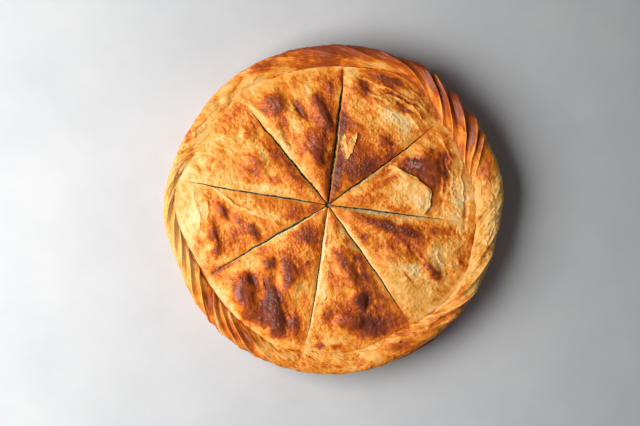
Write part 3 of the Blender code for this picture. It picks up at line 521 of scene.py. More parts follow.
def cut_bearing(cut, share):
    return cut["bearing"] + cut["bend"] * 4 * share * (1 - share)


def lid_place(bearing, share):
    """Straight lines from the middle of the cuts to the mouth of the case."""
    reach = mouth_radius(bearing) - LID_EDGE_GAP
    angle = np.radians(bearing)
    x = LID_MIDDLE[0] * (1 - share) + share * reach * np.cos(angle)
    y = LID_MIDDLE[1] * (1 - share) + share * reach * np.sin(angle)
    return x, y


def sheet_height(x, y):
    """Sheets that climb towards one end and stop there in a step."""
    total = np.zeros_like(x)
    for at_x, at_y, long, wide, turn, rise in FLAKES:
        along, aside = oval_axes(x, y, at_x, at_y, turn)
        along, aside = along / long, aside / wide
        inside = 1 / (1 + np.exp(-(1 - np.maximum(along, np.abs(aside))) * 14))
        total += rise * inside * np.clip(0.5 + 0.5 * along, 0, 1)
    return total


def torn_sheets(x, y, z, size, seed):
    """Terraces with ragged edges, as thin sheets of pastry lie on each other: the whole part of a
    noise with a steep climb between, how near a point is to such an edge, and the sheet's number."""
    value = 2.2 * (1 + cloudy(x, y, z, size, seed, layers=4, keep=0.55))
    level = np.floor(value)
    part = value - level
    return level + smooth_step(part, 0.86, 1.0) - 2.2, np.exp(-(((part - 0.94) / 0.07) ** 2)), level


def edge_relief(x, y):
    """Raised edges of sheets: a ridge exp(-(d / 1.1)^2) and a step that fades out in 9 mm."""
    height = np.zeros_like(x)
    pale = np.zeros_like(x)
    wave = 1.3 * cloudy(x, y, 0 * x, 8.0, 21, layers=2)
    for points, ridge, step in SHEET_EDGES:
        distance, side, place = along_line(x + wave, y - wave, points)
        ends = smooth_step(place, 0, 0.15) * smooth_step(1 - place, 0, 0.15)
        top = np.exp(-((distance / 1.1) ** 2))
        height += ends * (ridge * top + 0.5 * step * np.tanh(side * distance / 0.8) * np.exp(-distance / 9))
        pale += ends * np.exp(-((distance / 1.0) ** 2))
    return height, pale


def lid_relief(x, y, grain):
    """Height that the top pastry's blisters, sheets, hollows, wrinkles and bubbles add, and the
    parts of it that the browning follows. grain is the direction of the fine wrinkles."""
    push = 1 + 0.16 * cloudy(x, y, 0 * x, 7.0, 11)
    domes = np.zeros_like(x)
    for at_x, at_y, long, wide, turn, rise in BLISTERS:
        along, aside = oval_axes(x, y, at_x, at_y, turn)
        domes += BLISTER_SCALE * rise * np.exp(-((np.hypot(along / long, aside / wide) * push) ** 3))
    hollows = -ovals(x, y, HOLLOWS, power=2.0, ragged=0.2)
    edges, pale = edge_relief(x, y)
    flaky = np.clip(ovals(x, y, FLAKY, power=3.0, ragged=0.3, seed=5), 0, 1)
    torn, torn_edge, sheet = torn_sheets(x, y, 0 * x, 15.0, 51)
    along, aside = oval_axes(x, y, 0, 0, grain)
    streaks = cloudy(0.28 * along, aside, 0 * x, 4.5, 37, layers=3, keep=0.6)
    rumpled = 0.5 + 0.5 * cloudy(x, y, 0 * x, 30.0, 31, layers=2)
    wide_waves = 1.0 * cloudy(x, y, 0 * x, 17.0, 33)
    wrinkles = -0.5 * rumpled * np.exp(-((cloudy(x, y, 0 * x, 13.0, 35, layers=2) / 0.10) ** 2))
    patches = smooth_step(cloudy(x, y, 0 * x, 22.0, 47, layers=2), -0.2, 0.5)
    small = 0.62 * bubbles(x, y, 4.6, 41, 0.7) + 0.50 * bubbles(x + 1.3, y, 2.4, 43, 0.85)
    small = small * (0.4 + 0.6 * patches)
    fine = 0.22 * cloudy(x, y, 0 * x, 2.2, 45, layers=2)
    calm = 1 - 0.85 * smooth_step(ovals(x, y, CALM, power=4.0), 0.3, 0.9)
    height = domes + sheet_height(x, y) + hollows + edges + wide_waves + 0.42 * flaky * torn
    height = height + (wrinkles + small + fine + 0.34 * streaks) * calm
    parts = {"small": small, "pale": pale, "streaks": streaks, "calm": 1 - calm,
             "torn": flaky * (0.11 * ((0.618 * sheet) % 1 - 0.5) - 0.20 * torn_edge)}
    return height, parts


# Smooth, tight skins: x, y, half length, half width, turn, how smooth
CALM = [(-82, -76, 12, 8, 80, 1.0), (25, -80, 7, 6, 0, 1.0), (15, -103, 12, 7, 0, 0.8),
        (72, 17, 17, 13, -30, 0.7), (70, -76, 34, 16, -30, 0.6), (-100, 32, 30, 10, -10, 0.5),
        (-122, 0, 14, 34, 0, 0.5), (-52, -47, 8, 7, 0, 0.7), (-36, -56, 12, 6, 80, 0.7),
        (84, 38, 20, 11, -38, 1.0), (-7, 87, 13, 5, -65, 0.8)]


# Direction of the fine wrinkles of each wedge, in degrees
GRAIN = {"right": -35, "upper_right": -40, "top": -60, "upper_left": -52, "left": -68,
         "lower_left": -74, "bottom": -66, "lower_right": -42}


def lid_surface(x, y, share, across, wedge):
    """Upper face: dome, the wedge's puff between its cuts, relief, and the drop at the rim."""
    puff = PUFF[wedge] * np.sin(math.pi * across) ** 0.7 * np.sin(math.pi * share**0.8) ** 0.6
    flat = np.clip(swelling(np.degrees(np.arctan2(y, x)), FLAT_STRETCHES), 0, 1)
    edge = LID_EDGE_DROP * (1 - 0.8 * flat) * np.exp(-(1 - share) / LID_EDGE_REACH)
    ends = np.clip(share / 0.12, 0, 1) * (0.25 + 0.75 * np.clip((1 - share) / 0.08, 0, 1))
    sides = 0.3 + 0.7 * smooth_step(np.minimum(across, 1 - across) * share, 0, 0.06)
    relief, parts = lid_relief(x, y, GRAIN[wedge])
    height = lid_underside(share) + LID_THICKNESS + puff - edge + relief * ends * sides
    return height, parts


# Lid pale at its edge: bearing, spread, strength
PALE_LIP = [(95, 14, 0.14), (70, 12, 0.34), (30, 14, 0.10), (0, 18, 0.12), (335, 18, 0.24),
            (305, 16, 0.20), (272, 20, 0.10), (178, 20, 0.10), (226, 18, 0.22)]


def lid_bake(x, y, share, parts):
    """How brown the top pastry is: its stains, its blisters and a mottle of three sizes. Stains
    that lie on each other stay under 0.41, and pale ones over -0.34; some of them are painted shade and
    painted highlight. The burnt spots and the painted shade along some cuts come on top of that, and
    the whole is held between 0 and 0.93."""
    mottle = 0.09 * cloudy(x, y, 0 * x, 24.0, 71) + 0.10 * cloudy(x, y, 0 * x, 9.0, 73)
    specks = 0.07 * cloudy(x, y, 0 * x, 2.8, 75, layers=2) + 0.14 * parts["small"]
    stains = np.zeros_like(x)
    for k, rows in enumerate(BROWNING_AND_SHADE.values()):
        stains += ovals(x, y, rows, power=3.2, ragged=0.34, seed=10 * k)
    stains += ovals(x, y, FINE_STAINS_AND_PAINTED_LIGHT, power=2.4, ragged=0.34, seed=95)
    stains = np.where(stains > 0, 0.41 * np.tanh(stains / 0.38), 0.34 * np.tanh(stains / 0.34))
    charred_and_cut_shade = ovals(x, y, CHARRED_AND_CUT_SHADE, power=2.6, ragged=0.3, seed=90)
    deep = smooth_step(stains, 0.2, 0.45)
    bearing = np.degrees(np.arctan2(y, x))
    frayed = share + 0.012 * cloudy(x, y, 0 * x, 6.0, 77, layers=2)
    lip = swelling(bearing, PALE_LIP) * smooth_step(frayed, 0.955, 0.985)
    bake = LID_BASE_BAKE + stains + charred_and_cut_shade + mottle * (1 - 0.5 * deep)
    bake = bake + (specks + 0.09 * parts["streaks"]) * (1 - 0.7 * deep) * (1 - 0.5 * parts["calm"])
    return held_between(bake - 0.16 * parts["pale"] + parts["torn"] - lip, 0.0, 0.93)


def held_between(value, low, high, bend=0.16):
    """The value itself, bent by a tanh where it comes within bend of low or high, which it never
    goes past."""
    over = high - bend + bend * np.tanh((value - high + bend) / bend)
    under = low + bend + bend * np.tanh((value - low - bend) / bend)
    return np.where(value > high - bend, over, np.where(value < low + bend, under, value))


def columns_to_faces(rows, columns, closed):
    """Quads of a grid of rows by columns, numbered along each row; closed joins its last column
    to its first."""
    i, j = np.meshgrid(np.arange(rows - 1), np.arange(columns if closed else columns - 1), indexing="ij")
    after = (j + 1) % columns
    corners = [i * columns + j, (i + 1) * columns + j, (i + 1) * columns + after, i * columns + after]
    return np.stack(corners, axis=-1).reshape(-1, 4)


def new_piece(name, points, quads, material, caps=(), values=None, replaces=None):
    """A smooth-shaded piece on the body from points in mm, quads and end caps. values are named
    numbers for each point, which its material reads."""
    mesh = bpy.data.meshes.new(name)
    mesh.vertices.add(len(points))
    place = (points - np.array([SHIFT_X, SHIFT_Y, 0.0])) * MM
    mesh.vertices.foreach_set("co", place.astype(np.float32).ravel())
    loops = [quads.ravel()] + [np.asarray(cap) for cap in caps]
    sizes = np.concatenate([np.full(len(quads), 4), [len(cap) for cap in caps]]).astype(np.int32)
    starts = np.concatenate([[0], np.cumsum(sizes)[:-1]]).astype(np.int32)
    mesh.loops.add(int(sizes.sum()))
    mesh.loops.foreach_set("vertex_index", np.concatenate(loops).astype(np.int32))
    mesh.polygons.add(len(sizes))
    mesh.polygons.foreach_set("loop_start", starts)
    mesh.update(calc_edges=True)
    for key, numbers in (values or {}).items():
        layer = mesh.attributes.new(key, "FLOAT", "POINT")
        layer.data.foreach_set("value", np.asarray(numbers, dtype=np.float32).ravel())
    mesh.shade_smooth()
    mesh.materials.append(material)
    piece = bpy.data.objects.new(name, mesh)
    bpy.context.scene.collection.objects.link(piece)
    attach(piece, BODY)
    if replaces:
        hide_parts(replaces)
    return piece


def cut_wander(cut, share):
    """How far a cut runs to one side of its line, in mm, the same for the wedges on both sides."""
    seed = int(cut["bearing"])
    wander = 0.5 * cloudy(share * 120, 0 * share, 0 * share, 11.0, seed, layers=3, keep=0.6)
    return wander * smooth_step(share, 0.03, 0.15) * smooth_step(1 - share, 0.02, 0.1)


def cut_face_width(side, which, share, width, opened):
    """Width of the sloping face of a cut: none at the middle of the lid, 0.3 of the full width past
    its face_end, and never more than 0.22 of the wedge. opened is how open the cut is, 0 to 1."""
    tip = np.clip(share / 0.22, 0, 1) * (1.1 - 0.5 * share)
    narrow = 1 - 0.7 * smooth_step(share, side["face_end"] - 0.06, side["face_end"] + 0.12)
    return np.minimum(side[which] * opened * tip * narrow, 0.22 * width)


def cut_torn(cut, share, place, seed):
    """Small raggedness of a cut's edge in mm, more on a wider cut. place keeps two edges apart."""
    return 0.14 * cut["gap"] * cloudy(share * 120, 0 * share + place, 0 * share, 1.8, seed, layers=2)


def make_wedge(cut, after, material):
    """One wedge of the lid. Each row is a closed loop at one share of the way out: over the top
    from cut to cut, down the sloping cut face, back under, and up the other face."""
    share = np.linspace(0.02, 1.0, WEDGE_ROWS)[:, None]
    begin = cut_bearing(cut, share)
    span = (cut_bearing(after, share) - begin) % 360.0
    width = np.radians(span) * share * MOUTH_RADIUS
    open_before = 1 - np.clip(share / cut["reach"], 0, 1) ** 4
    open_after = 1 - np.clip(share / after["reach"], 0, 1) ** 4
    torn_before, torn_after = cut_torn(cut, share, 3, 83), cut_torn(after, share, 9, 85)
    edge_before = EDGE_SHARE * cut_gap(cut, share) + cut_wander(cut, share) + torn_before * open_before
    edge_after = width - EDGE_SHARE * cut_gap(after, share)
    edge_after = edge_after + cut_wander(after, share) - torn_after * open_after
    face_before = cut_face_width(cut, "face_after", share, width, open_before)
    face_after = cut_face_width(after, "face_before", share, width, open_after)
    ragged = 0.35 * cloudy(share * 90, 0 * share + cut["bearing"], 0 * share, 4.0, 81, layers=3, keep=0.6)
    face_before = np.maximum(face_before * (1 + ragged), 0.02 * open_before)
    face_after = np.maximum(face_after * (1 - ragged), 0.02 * open_after)
    step = np.arange(WEDGE_COLUMNS + 1) / WEDGE_COLUMNS
    spread = ((0.5 - 0.5 * np.cos(math.pi * step)) * 0.5 + 0.5 * step)[None, :]
    top_side = edge_before + face_before + spread * (edge_after - face_after - edge_before - face_before)
    x, y = lid_place(begin + span * top_side / width, share)
    across = np.clip(top_side / width, 0, 1)
    height, parts = lid_surface(x, y, share + 0 * across, across, cut["name"])
    round_off = np.minimum(top_side - edge_before - face_before, edge_after - face_after - top_side)
    opened = np.where(spread < 0.5, open_before, open_after)
    height = height - 0.55 * opened * np.exp(-round_off / 0.8)
    bake = lid_bake(x, y, share, parts) - 0.12 * opened * np.exp(-round_off / 1.0)
    low = lid_underside(share)
    down = np.linspace(0, 1, FACE_COLUMNS)[None, 1:]
    slope = np.clip(down + 0.10 * np.sin(down * 2 * math.pi * 3.5), 0, 1)
    after_side = edge_after - face_after + face_after * slope
    after_high = height[:, -1:] + (low + FACE_FOOT - height[:, -1:]) * down**1.2
    before_side = (edge_before + face_before - face_before * slope)[:, ::-1]
    before_high = (height[:, :1] + (low + FACE_FOOT - height[:, :1]) * down**1.2)[:, ::-1]
    under_side = edge_before + np.linspace(1, 0, UNDER_COLUMNS)[None, :] * (edge_after - edge_before)
    sides = np.concatenate([top_side, after_side, under_side, before_side], axis=1)
    heights = np.concatenate([height, after_high, low + 0 * under_side, before_high], axis=1)
    all_x, all_y = lid_place(begin + span * sides / width, share)
    points = np.stack([all_x, all_y, heights], axis=-1).reshape(-1, 3)
    cut_face = np.ones_like(sides)
    cut_face[:, : height.shape[1]] = 0
    layers = 0.08 * np.sin(heights * 2 * math.pi / PASTRY_LAYER)
    layers = layers + 0.10 * cloudy(all_x, all_y, heights, 2.0, 91, layers=2)
    layers = layers + 0.14 * cloudy(all_x, all_y, 0 * all_x, 9.0, 93, layers=2)
    # The cut faces take their two bake values, which hold painted shade as well as browning.
    tone = np.concatenate([0 * height, 0 * after_side + after["bake_and_shade_before"], 0 * under_side + 0.4,
                           0 * before_side + cut["bake_and_shade_after"]], axis=1)
    all_bake = tone + layers
    all_bake[:, : height.shape[1]] = bake
    calm = np.zeros_like(sides)
    calm[:, : height.shape[1]] = parts["calm"]
    dull = np.clip(ovals(all_x, all_y, DULL, power=2.4, ragged=0.25), 0, 1)
    columns = sides.shape[1]
    quads = columns_to_faces(WEDGE_ROWS, columns, closed=True)
    caps = [np.arange(columns), (WEDGE_ROWS - 1) * columns + np.arange(columns)[::-1]]
    values = {"bake": all_bake, "cut_face": cut_face, "dull": dull, "calm": calm}
    return new_piece(f"wedge_{cut['name']}", points, quads, material, caps, values, "lid")


def folds_round():
    """Bearings at the mouth, leans and depths of the crests, with the first one again at the end."""
    mouth_bearing, outline_bearing, first_depth = FOLDS[0]
    again = (mouth_bearing + 360, outline_bearing + 360, first_depth)
    crest, outer, depth = np.array(FOLDS + [again]).T
    return crest, outer - crest, depth


def fold_place(inside):
    """The fold a column lies in: its number, how far across it from crest to crest, its width in
    degrees and its depth."""
    crest, _, depth = folds_round()
    inside = crest[0] + (inside - crest[0]) % 360.0
    fold = np.clip(np.searchsorted(crest, inside, side="right") - 1, 0, len(FOLDS) - 1)
    width = crest[fold + 1] - crest[fold]
    phase = (inside - crest[fold]) / width
    return fold, phase, width, depth[fold] * (1 - phase) + depth[fold + 1] * phase


def leaning(inside, across):
    """Bearing of a point on a fold, from the bearing where the fold meets the mouth."""
    crest, lean, _ = folds_round()
    return inside + np.interp(crest[0] + (inside - crest[0]) % 360.0, crest, lean) * across


# Section of the rim from outside in: share of the way from the mouth to the outline, share of the
# climb from the lid's seat to the crest, and the same where the rim is flat and runs on from the
# lid. The last two rows tuck a thin lip over the edge of the lid.
RIM_STATIONS = [(1.0, 0.12, 0.10), (0.97, 0.50, 0.36), (0.84, 0.86, 0.60), (0.64, 1.0, 0.66),
                (0.42, 0.94, 0.62), (0.20, 0.68, 0.53), (0.04, 0.36, 0.44), (-0.05, 0.25, 0.38),
                (-0.09, 0.02, 0.24)]
# Rows of the rim's underside: share of the way out for the lean of its folds, mm out from the mouth,
# and mm above the lid's seat
RIM_UNDER = [(0.02, 1.5, 0.5), (0.2, 6.0, -2.0), (0.8, 18.0, -4.0), (0.9, 22.0, -3.0)]
# Crests with a wide pale band beside them, partly painted highlight: bearing, spread, extra width
CREST_BANDS = [(200, 14, 1.5), (52, 4, 2.2)]
# Folds that are shallower than the others: bearing, spread, share of the depth taken off
SOFT_FOLDS = [(197, 14, 0.3)]
# Colour of the rim by bearing: bearing, spread, change of browning at its outer and inner part
RIM_TONES = [
    (92, 16, 0.36, 0.26), (66, 12, 0.28, 0.14), (44, 12, 0.20, 0.16), (22, 8, 0.06, 0.06),
    (1, 13, -0.20, -0.16), (342, 12, -0.16, -0.14), (320, 14, 0.06, -0.04), (300, 12, 0.14, 0.0),
    (280, 14, 0.02, -0.02), (256, 16, 0.05, 0.04), (228, 12, 0.0, 0.0), (208, 10, -0.06, -0.02),
    (193, 10, -0.16, -0.14), (180, 10, -0.24, -0.24), (166, 9, -0.16, -0.08), (150, 12, -0.06, 0.0),
    (134, 9, -0.08, -0.02), (118, 10, 0.08, -0.04), (225, 14, -0.02, 0.0),
]
# Where the rim is dull and sandy: bearing, spread, how much
RIM_DULL = [(0, 12, 0.5), (345, 14, 0.5), (325, 12, 0.3)]
# Crease between rim and lid, sunk and darkened with painted shade, and pale crumbs along the rim's
# inner side: bearing, spread, how much
RIM_CREASES_AND_SHADE = [(226, 22, 0.6), (202, 8, 0.7), (50, 12, 0.5), (311, 4, 0.9), (113, 5, 0.4)]
RIM_CRUMBS = [(335, 22, 1.2), (314, 8, 0.9), (300, 6, 0.5), (2, 10, 0.4), (88, 20, 0.3), (262, 14, 0.4),
              (236, 12, 0.8)]
# Folds that are browner or paler than the others: number of the fold and its browning
FOLD_TONES = {1: 0.06, 2: 0.10, 3: 0.12, 4: 0.14, 5: 0.10, 18: -0.04, 19: -0.04, 20: -0.04, 21: 0.02,
              22: 0.14, 23: 0.10, 24: 0.18, 25: 0.10}
# Where the rim is crumbly and torn: bearing, spread, how much
RIM_FLAKY = [(0, 20, 1.0), (342, 12, 1.0), (320, 14, 0.7), (298, 10, 0.7), (274, 18, 0.9),
             (252, 10, 0.7), (135, 22, 1.0), (162, 14, 0.6), (92, 22, 0.6)]
# Single stains on the rim: x, y, half length, half width, turn, strength; below 0 is paler
RIM_STAINS = [
    (-131, 66, 4, 6, -20, 0.34), (-66, 129, 9, 3, 25, 0.34), (-75, 113, 6, 4, -20, -0.40),
    (-88, 110, 9, 1.6, 52, 0.50), (18, 148, 9, 2.4, -6, 0.55), (-34, 146, 12, 2.4, 10, 0.45),
    (-148, -8, 3, 15, 6, 0.20), (-143, 4, 2, 14, 0, -0.16), (-120, -70, 4, 12, 28, 0.24),
    (-112, -84, 4, 14, 30, 0.24), (-76, -116, 10, 4, -55, 0.26), (131, 32, 3, 3, 0, 0.20),
    (136, -33, 2.0, 7, 60, 0.34), (118, -72, 14, 4, 52, 0.26), (96, -98, 16, 4, 40, 0.22),
    (126, -56, 10, 2.4, 56, -0.20), (60, -122, 14, 5, 24, 0.26), (30, -126, 8, 4, 10, -0.22),
    (-8, -140, 20, 3, -4, 0.10), (-44, -136, 14, 4, -18, 0.16), (-30, -128, 10, 3, -10, -0.20),
    (-136, 30, 5, 10, 20, -0.24), (-118, 88, 8, 5, 50, 0.10), (-104, 96, 7, 3, 45, -0.20),
]
RIM_BASE_BAKE = 0.40


def smooth_through(stations, t):
    """Catmull-Rom curve through the stations, for t from 0 at the first to 1 at the last."""
    stations = np.array(stations, dtype=float)
    padded = np.vstack([2 * stations[0] - stations[1], stations, 2 * stations[-1] - stations[-2]])
    place = np.clip(t, 0, 1) * (len(stations) - 1)
    k = np.minimum(place.astype(int), len(stations) - 2)
    f = (place - k)[:, None]
    a, b, c, d = padded[k], padded[k + 1], padded[k + 2], padded[k + 3]
    return 0.5 * (2 * b + (c - a) * f + (2 * a - 5 * b + 4 * c - d) * f**2 + (3 * b - a - 3 * c + d) * f**3)


def rim_surface(inside, across, round_rise, flat_rise):
    """Upper face of the twisted rim for a mouth bearing and a place in the section. A fold is a
    round hollow |2p - 1|^1.6 between sharp crests, which wander, and carry a thin raised edge."""
    bearing = leaning(inside, across)
    angle = np.radians(bearing)
    mouth = mouth_radius(bearing)
    crest = RIM_HEIGHT + swelling(bearing, RIM_WAVES)
    out, share = across * 24.0, np.clip(across, 0, 1)
    loop_x, loop_y = 150 * np.cos(np.radians(inside)), 150 * np.sin(np.radians(inside))
    wander = 1.3 * cloudy(loop_x, loop_y, out, 17.0, 101) * np.clip(across * 4, 0, 1)
    number, phase, width, depth = fold_place(inside + wander)
    weight = np.clip(np.sin(math.pi * (0.10 + 0.76 * across)), 0, 1) ** 0.7
    uneven = 0.5 + 0.5 * cloudy(loop_x, loop_y, out, 20.0, 103, layers=2)
    fold = depth * (0.7 + 0.6 * uneven) * (np.abs(2 * phase - 1) ** FOLD_SHARPNESS - FOLD_SINK)
    fold = fold * (1 - swelling(bearing, SOFT_FOLDS))
    wide = np.radians(width) * mouth
    band = 1.3 + np.clip(swelling(bearing, CREST_BANDS), 0, 3)
    edge = np.exp(-((phase * wide / band) ** 2)) + 0.8 * np.exp(-(((1 - phase) * wide / (0.5 * band)) ** 2))
    deep = smooth_step(depth, 0.7, 2.8)
    near_lid = 1 - smooth_step(across, 0.0, 0.3)
    crumbs = np.clip(swelling(bearing, RIM_CRUMBS), 0, 1) * np.exp(-(((across - 0.06) / 0.055) ** 2))
    crumbs = crumbs * (0.5 + 0.9 * cloudy(loop_x, loop_y, out, 5.0, 121, layers=2))
    # The crease is sunk here as shape; its darkening further down is painted shade.
    creased_and_shaded = np.clip(swelling(bearing, RIM_CREASES_AND_SHADE), 0, 1) * np.exp(-(((across - 0.0) / 0.05) ** 2))
    radius = mouth + across * (outline_radius(bearing) - mouth) + 0.5 * fold * weight * across
    radius = radius + 1.1 * cloudy(loop_x, loop_y, 0 * out, 7.0, 123, layers=3, keep=0.6) * near_lid
    flat = np.clip(swelling(bearing, FLAT_STRETCHES), 0, 1)
    rise = round_rise + flat * (flat_rise - round_rise)
    height = LID_SEAT_HEIGHT + rise * (crest - LID_SEAT_HEIGHT) + fold * weight
    height = height + 0.7 * edge * deep * uneven * weight + 1.0 * crumbs - 0.9 * creased_and_shaded
    x, y = radius * np.cos(angle), radius * np.sin(angle)
    flaky = np.clip(swelling(bearing, RIM_FLAKY), 0, 1)
    torn, torn_edge, sheet = torn_sheets(x, y, 0.7 * height, 13.0, 105)
    waves = cloudy(x, y, 0 * x, 15.0, 107, layers=2)
    ridges = cloudy(loop_x * 1.2, loop_y * 1.2, 0.25 * out, 4.0, 109, layers=3, keep=0.6)
    knobs = 0.6 * bubbles(x, y, 4.2, 111, 0.6) + 0.5 * bubbles(x, y, 2.4, 125, 0.7)
    shape = 0.8 * waves + 0.65 * flaky * torn + (0.20 + 0.10 * flaky) * ridges
    shape = shape + (0.35 + 0.75 * flaky) * knobs
    height = height + shape * np.clip(weight, 0, 1) + 0.14 * cloudy(x, y, height, 2.0, 113, layers=2)
    ragged = 0.8 * cloudy(x, y, height, 5.0, 115, layers=3, keep=0.6) * (across - 0.5)
    x, y = x + ragged * np.cos(angle), y + ragged * np.sin(angle)
    outer_tone = swelling(bearing, [(b, s, o) for b, s, o, i in RIM_TONES])
    inner_tone = swelling(bearing, [(b, s, i) for b, s, o, i in RIM_TONES])
    own_tone = np.array([FOLD_TONES.get(k, 0.0) for k in range(len(FOLDS))])[number]
    # Hollows are browner in their middle and darker where they climb to the next crest counter-clockwise,
    # which is painted shade on the side away from the light; crest edges are made pale, partly their own
    # colour and partly painted highlight.
    lens = np.sin(math.pi * phase) ** 1.3 + 0.7 * smooth_step(phase, 0.5, 0.95)
    bake = RIM_BASE_BAKE + inner_tone * (1 - share) + outer_tone * share + own_tone * deep
    bake = bake + deep * (0.18 * lens * uneven - 0.04) - (0.08 + 0.32 * deep) * edge * (0.4 + 0.6 * uneven)
    bake = bake + flaky * (0.22 * ((0.618 * sheet) % 1 - 0.5) - 0.22 * torn_edge)
    bake = bake + 0.10 * cloudy(x, y, height, 10.0, 117) + 0.07 * cloudy(x, y, height, 2.6, 119, layers=2)
    bake = bake + 0.06 * ridges + (0.10 + 0.16 * flaky) * knobs - 0.06 * flaky
    # Stains of the rim and the smaller stains, which also hold painted shade and painted highlight.
    stains = ovals(x, y, RIM_STAINS, power=2.6, ragged=0.3, seed=80)
    stains += ovals(x, y, FINE_STAINS_AND_PAINTED_LIGHT, power=2.4, ragged=0.34, seed=95)
    # The last term paints shade into the crease between rim and lid.
    bake = bake + 0.42 * np.tanh(stains / 0.42) - 0.34 * crumbs + 0.45 * creased_and_shaded
    return x, y, height, held_between(bake, 0.15, 0.74)


def rim_dull(x, y):
    return np.clip(swelling(np.degrees(np.arctan2(y, x)), RIM_DULL), 0, 1)


def make_rim(material):
    """The twisted rim as a closed ring: over the top by the stations, and back underneath. Its
    columns lean with the folds from the mouth to the outline."""
    inside = (FOLDS[0][0] + np.arange(RIM_STEPS) * 360.0 / RIM_STEPS)[None, :]
    section = smooth_through(RIM_STATIONS, np.linspace(0, 1, RIM_ROWS))
    x, y, height, bake = rim_surface(inside, section[:, :1], section[:, 1:2], section[:, 2:])
    under = np.array(RIM_UNDER)
    low_bearing = leaning(inside, under[:, :1])
    low_radius = np.minimum(mouth_radius(low_bearing) + under[:, 1:2], outline_radius(low_bearing) - 2.0)
    low_x = low_radius * np.cos(np.radians(low_bearing))
    low_y = low_radius * np.sin(np.radians(low_bearing))
    x, y = np.vstack([x, low_x]), np.vstack([y, low_y])
    height = np.vstack([height, LID_SEAT_HEIGHT + under[:, 2:] + 0 * low_x])
    bake = np.vstack([bake, 0 * low_x + 0.4])
    points = np.stack([x, y, height], axis=-1)
    rows = points.shape[0]
    last = (rows - 1) * RIM_STEPS + np.arange(RIM_STEPS)
    first = np.arange(RIM_STEPS)
    seam = np.stack([last, first, np.roll(first, -1), np.roll(last, -1)], axis=-1)
    quads = np.concatenate([columns_to_faces(rows, RIM_STEPS, closed=True), seam])[:, ::-1]
    values = {"bake": bake, "cut_face": 0 * bake, "dull": rim_dull(x, y), "calm": 0 * bake}
    return new_piece("rim", points.reshape(-1, 3), quads, material, (), values, "crust")


# Thin torn sheets that stand off the lid: wedge, spine as x, y and half width, lift of the left and
# of the right edge, where below 0 is sunk into the lid, and browning
LEAVES = {
    "big_flake_edge": ("right", [(50, 38, 2.0), (60, 33, 3.6), (70, 26.5, 4.4), (79, 20.5, 4.6),
                                 (84, 13, 4.6), (83.5, 5, 4.2), (80, -4, 2.6)], 1.6, -0.7, 0.12),
    "left_prong": ("upper_right", [(12.5, 45, 0.8), (11, 52, 2.6), (9.6, 58, 3.0), (9.6, 64, 2.0),
                                   (10.2, 69.5, 0.4)], 1.6, 0.4, 0.06),
    "right_prong": ("upper_right", [(12.8, 46, 0.8), (14.5, 53, 3.0), (17, 59, 3.2), (19.4, 64.5, 1.8),
                                    (21.6, 69, 0.4)], 0.5, 1.7, 0.12),
    "upper_sheet": ("upper_right", [(48, 103, 0.8), (57, 99, 2.4), (66, 93, 3.0), (74, 88, 2.4),
                                    (80, 81, 0.8)], 1.1, -0.5, 0.30),
    "left_sheet": ("left", [(-108, 19, 0.8), (-99, 11, 2.2), (-88, 2, 2.6), (-74, -3, 2.2), (-58, -9, 0.8)],
                   0.9, -0.6, 0.12),
    "lower_curl": ("lower_right", [(94, -40, 0.6), (98, -46, 2.0), (104, -50, 2.0), (111, -50, 0.6)],
                   -0.4, 0.9, 0.26),
}


def leaf_grid(spine, steps_along=60, steps_across=14):
    """Points of a leaf on the plane: along its smoothed spine, and across it to its two edges."""
    along = np.linspace(0, 1, steps_along)
    line = smooth_through(spine, along)
    run = np.gradient(line[:, :2], axis=0)
    run /= np.maximum(np.hypot(run[:, 0], run[:, 1]), 1e-9)[:, None]
    side = np.linspace(-1, 1, steps_across)[None, :]
    ragged = 1 + 0.25 * cloudy(along[:, None] * 40, side * 3, 0 * side, 3.0, 151, layers=2)
    half = np.maximum(line[:, 2:3], 0.1) * ragged
    x = line[:, :1] - run[:, 1:] * side * half
    y = line[:, 1:2] + run[:, :1] * side * half
    return x, y, side + 0 * x


def closed_leaf(x, y, height, thickness):
    """Points and quads of a thin closed sheet from a grid of its upper face."""
    rows, columns = x.shape
    top = np.stack([x, y, height], axis=-1).reshape(-1, 3)
    bottom = top - np.array([0, 0, thickness])
    upper = columns_to_faces(rows, columns, closed=False)
    count = rows * columns
    loop = np.concatenate([np.arange(columns), columns - 1 + columns * np.arange(1, rows),
                           (rows - 1) * columns + np.arange(columns - 2, -1, -1),
                           columns * np.arange(rows - 2, 0, -1)])
    after = np.roll(loop, -1)
    wall = np.stack([loop, after, after + count, loop + count], axis=-1)
    return np.concatenate([top, bottom]), np.concatenate([upper, upper[:, ::-1] + count, wall])


def facing_up(points, quads):
    """The same quads, turned round if the sheet's first face looks down."""
    a, b, c = (points[quads[:1, k]][0] for k in (0, 1, 2))
    return quads if np.cross(b - a, c - a)[2] > 0 else quads[:, ::-1]


def lid_coordinates(x, y):
    """Bearing at the mouth and share of the way out for a point of the lid."""
    table = np.arange(0, 360, 0.25)
    edge_x, edge_y = lid_place(table, 1.0)
    heading = np.degrees(np.arctan2(edge_y - LID_MIDDLE[1], edge_x - LID_MIDDLE[0])) % 360.0
    own = np.degrees(np.arctan2(y - LID_MIDDLE[1], x - LID_MIDDLE[0])) % 360.0
    bearing = own + np.interp(own, heading, turned(table, heading), period=360.0)
    edge_x, edge_y = lid_place(bearing, 1.0)
    reach = np.hypot(edge_x - LID_MIDDLE[0], edge_y - LID_MIDDLE[1])
    return bearing, np.hypot(x - LID_MIDDLE[0], y - LID_MIDDLE[1]) / reach


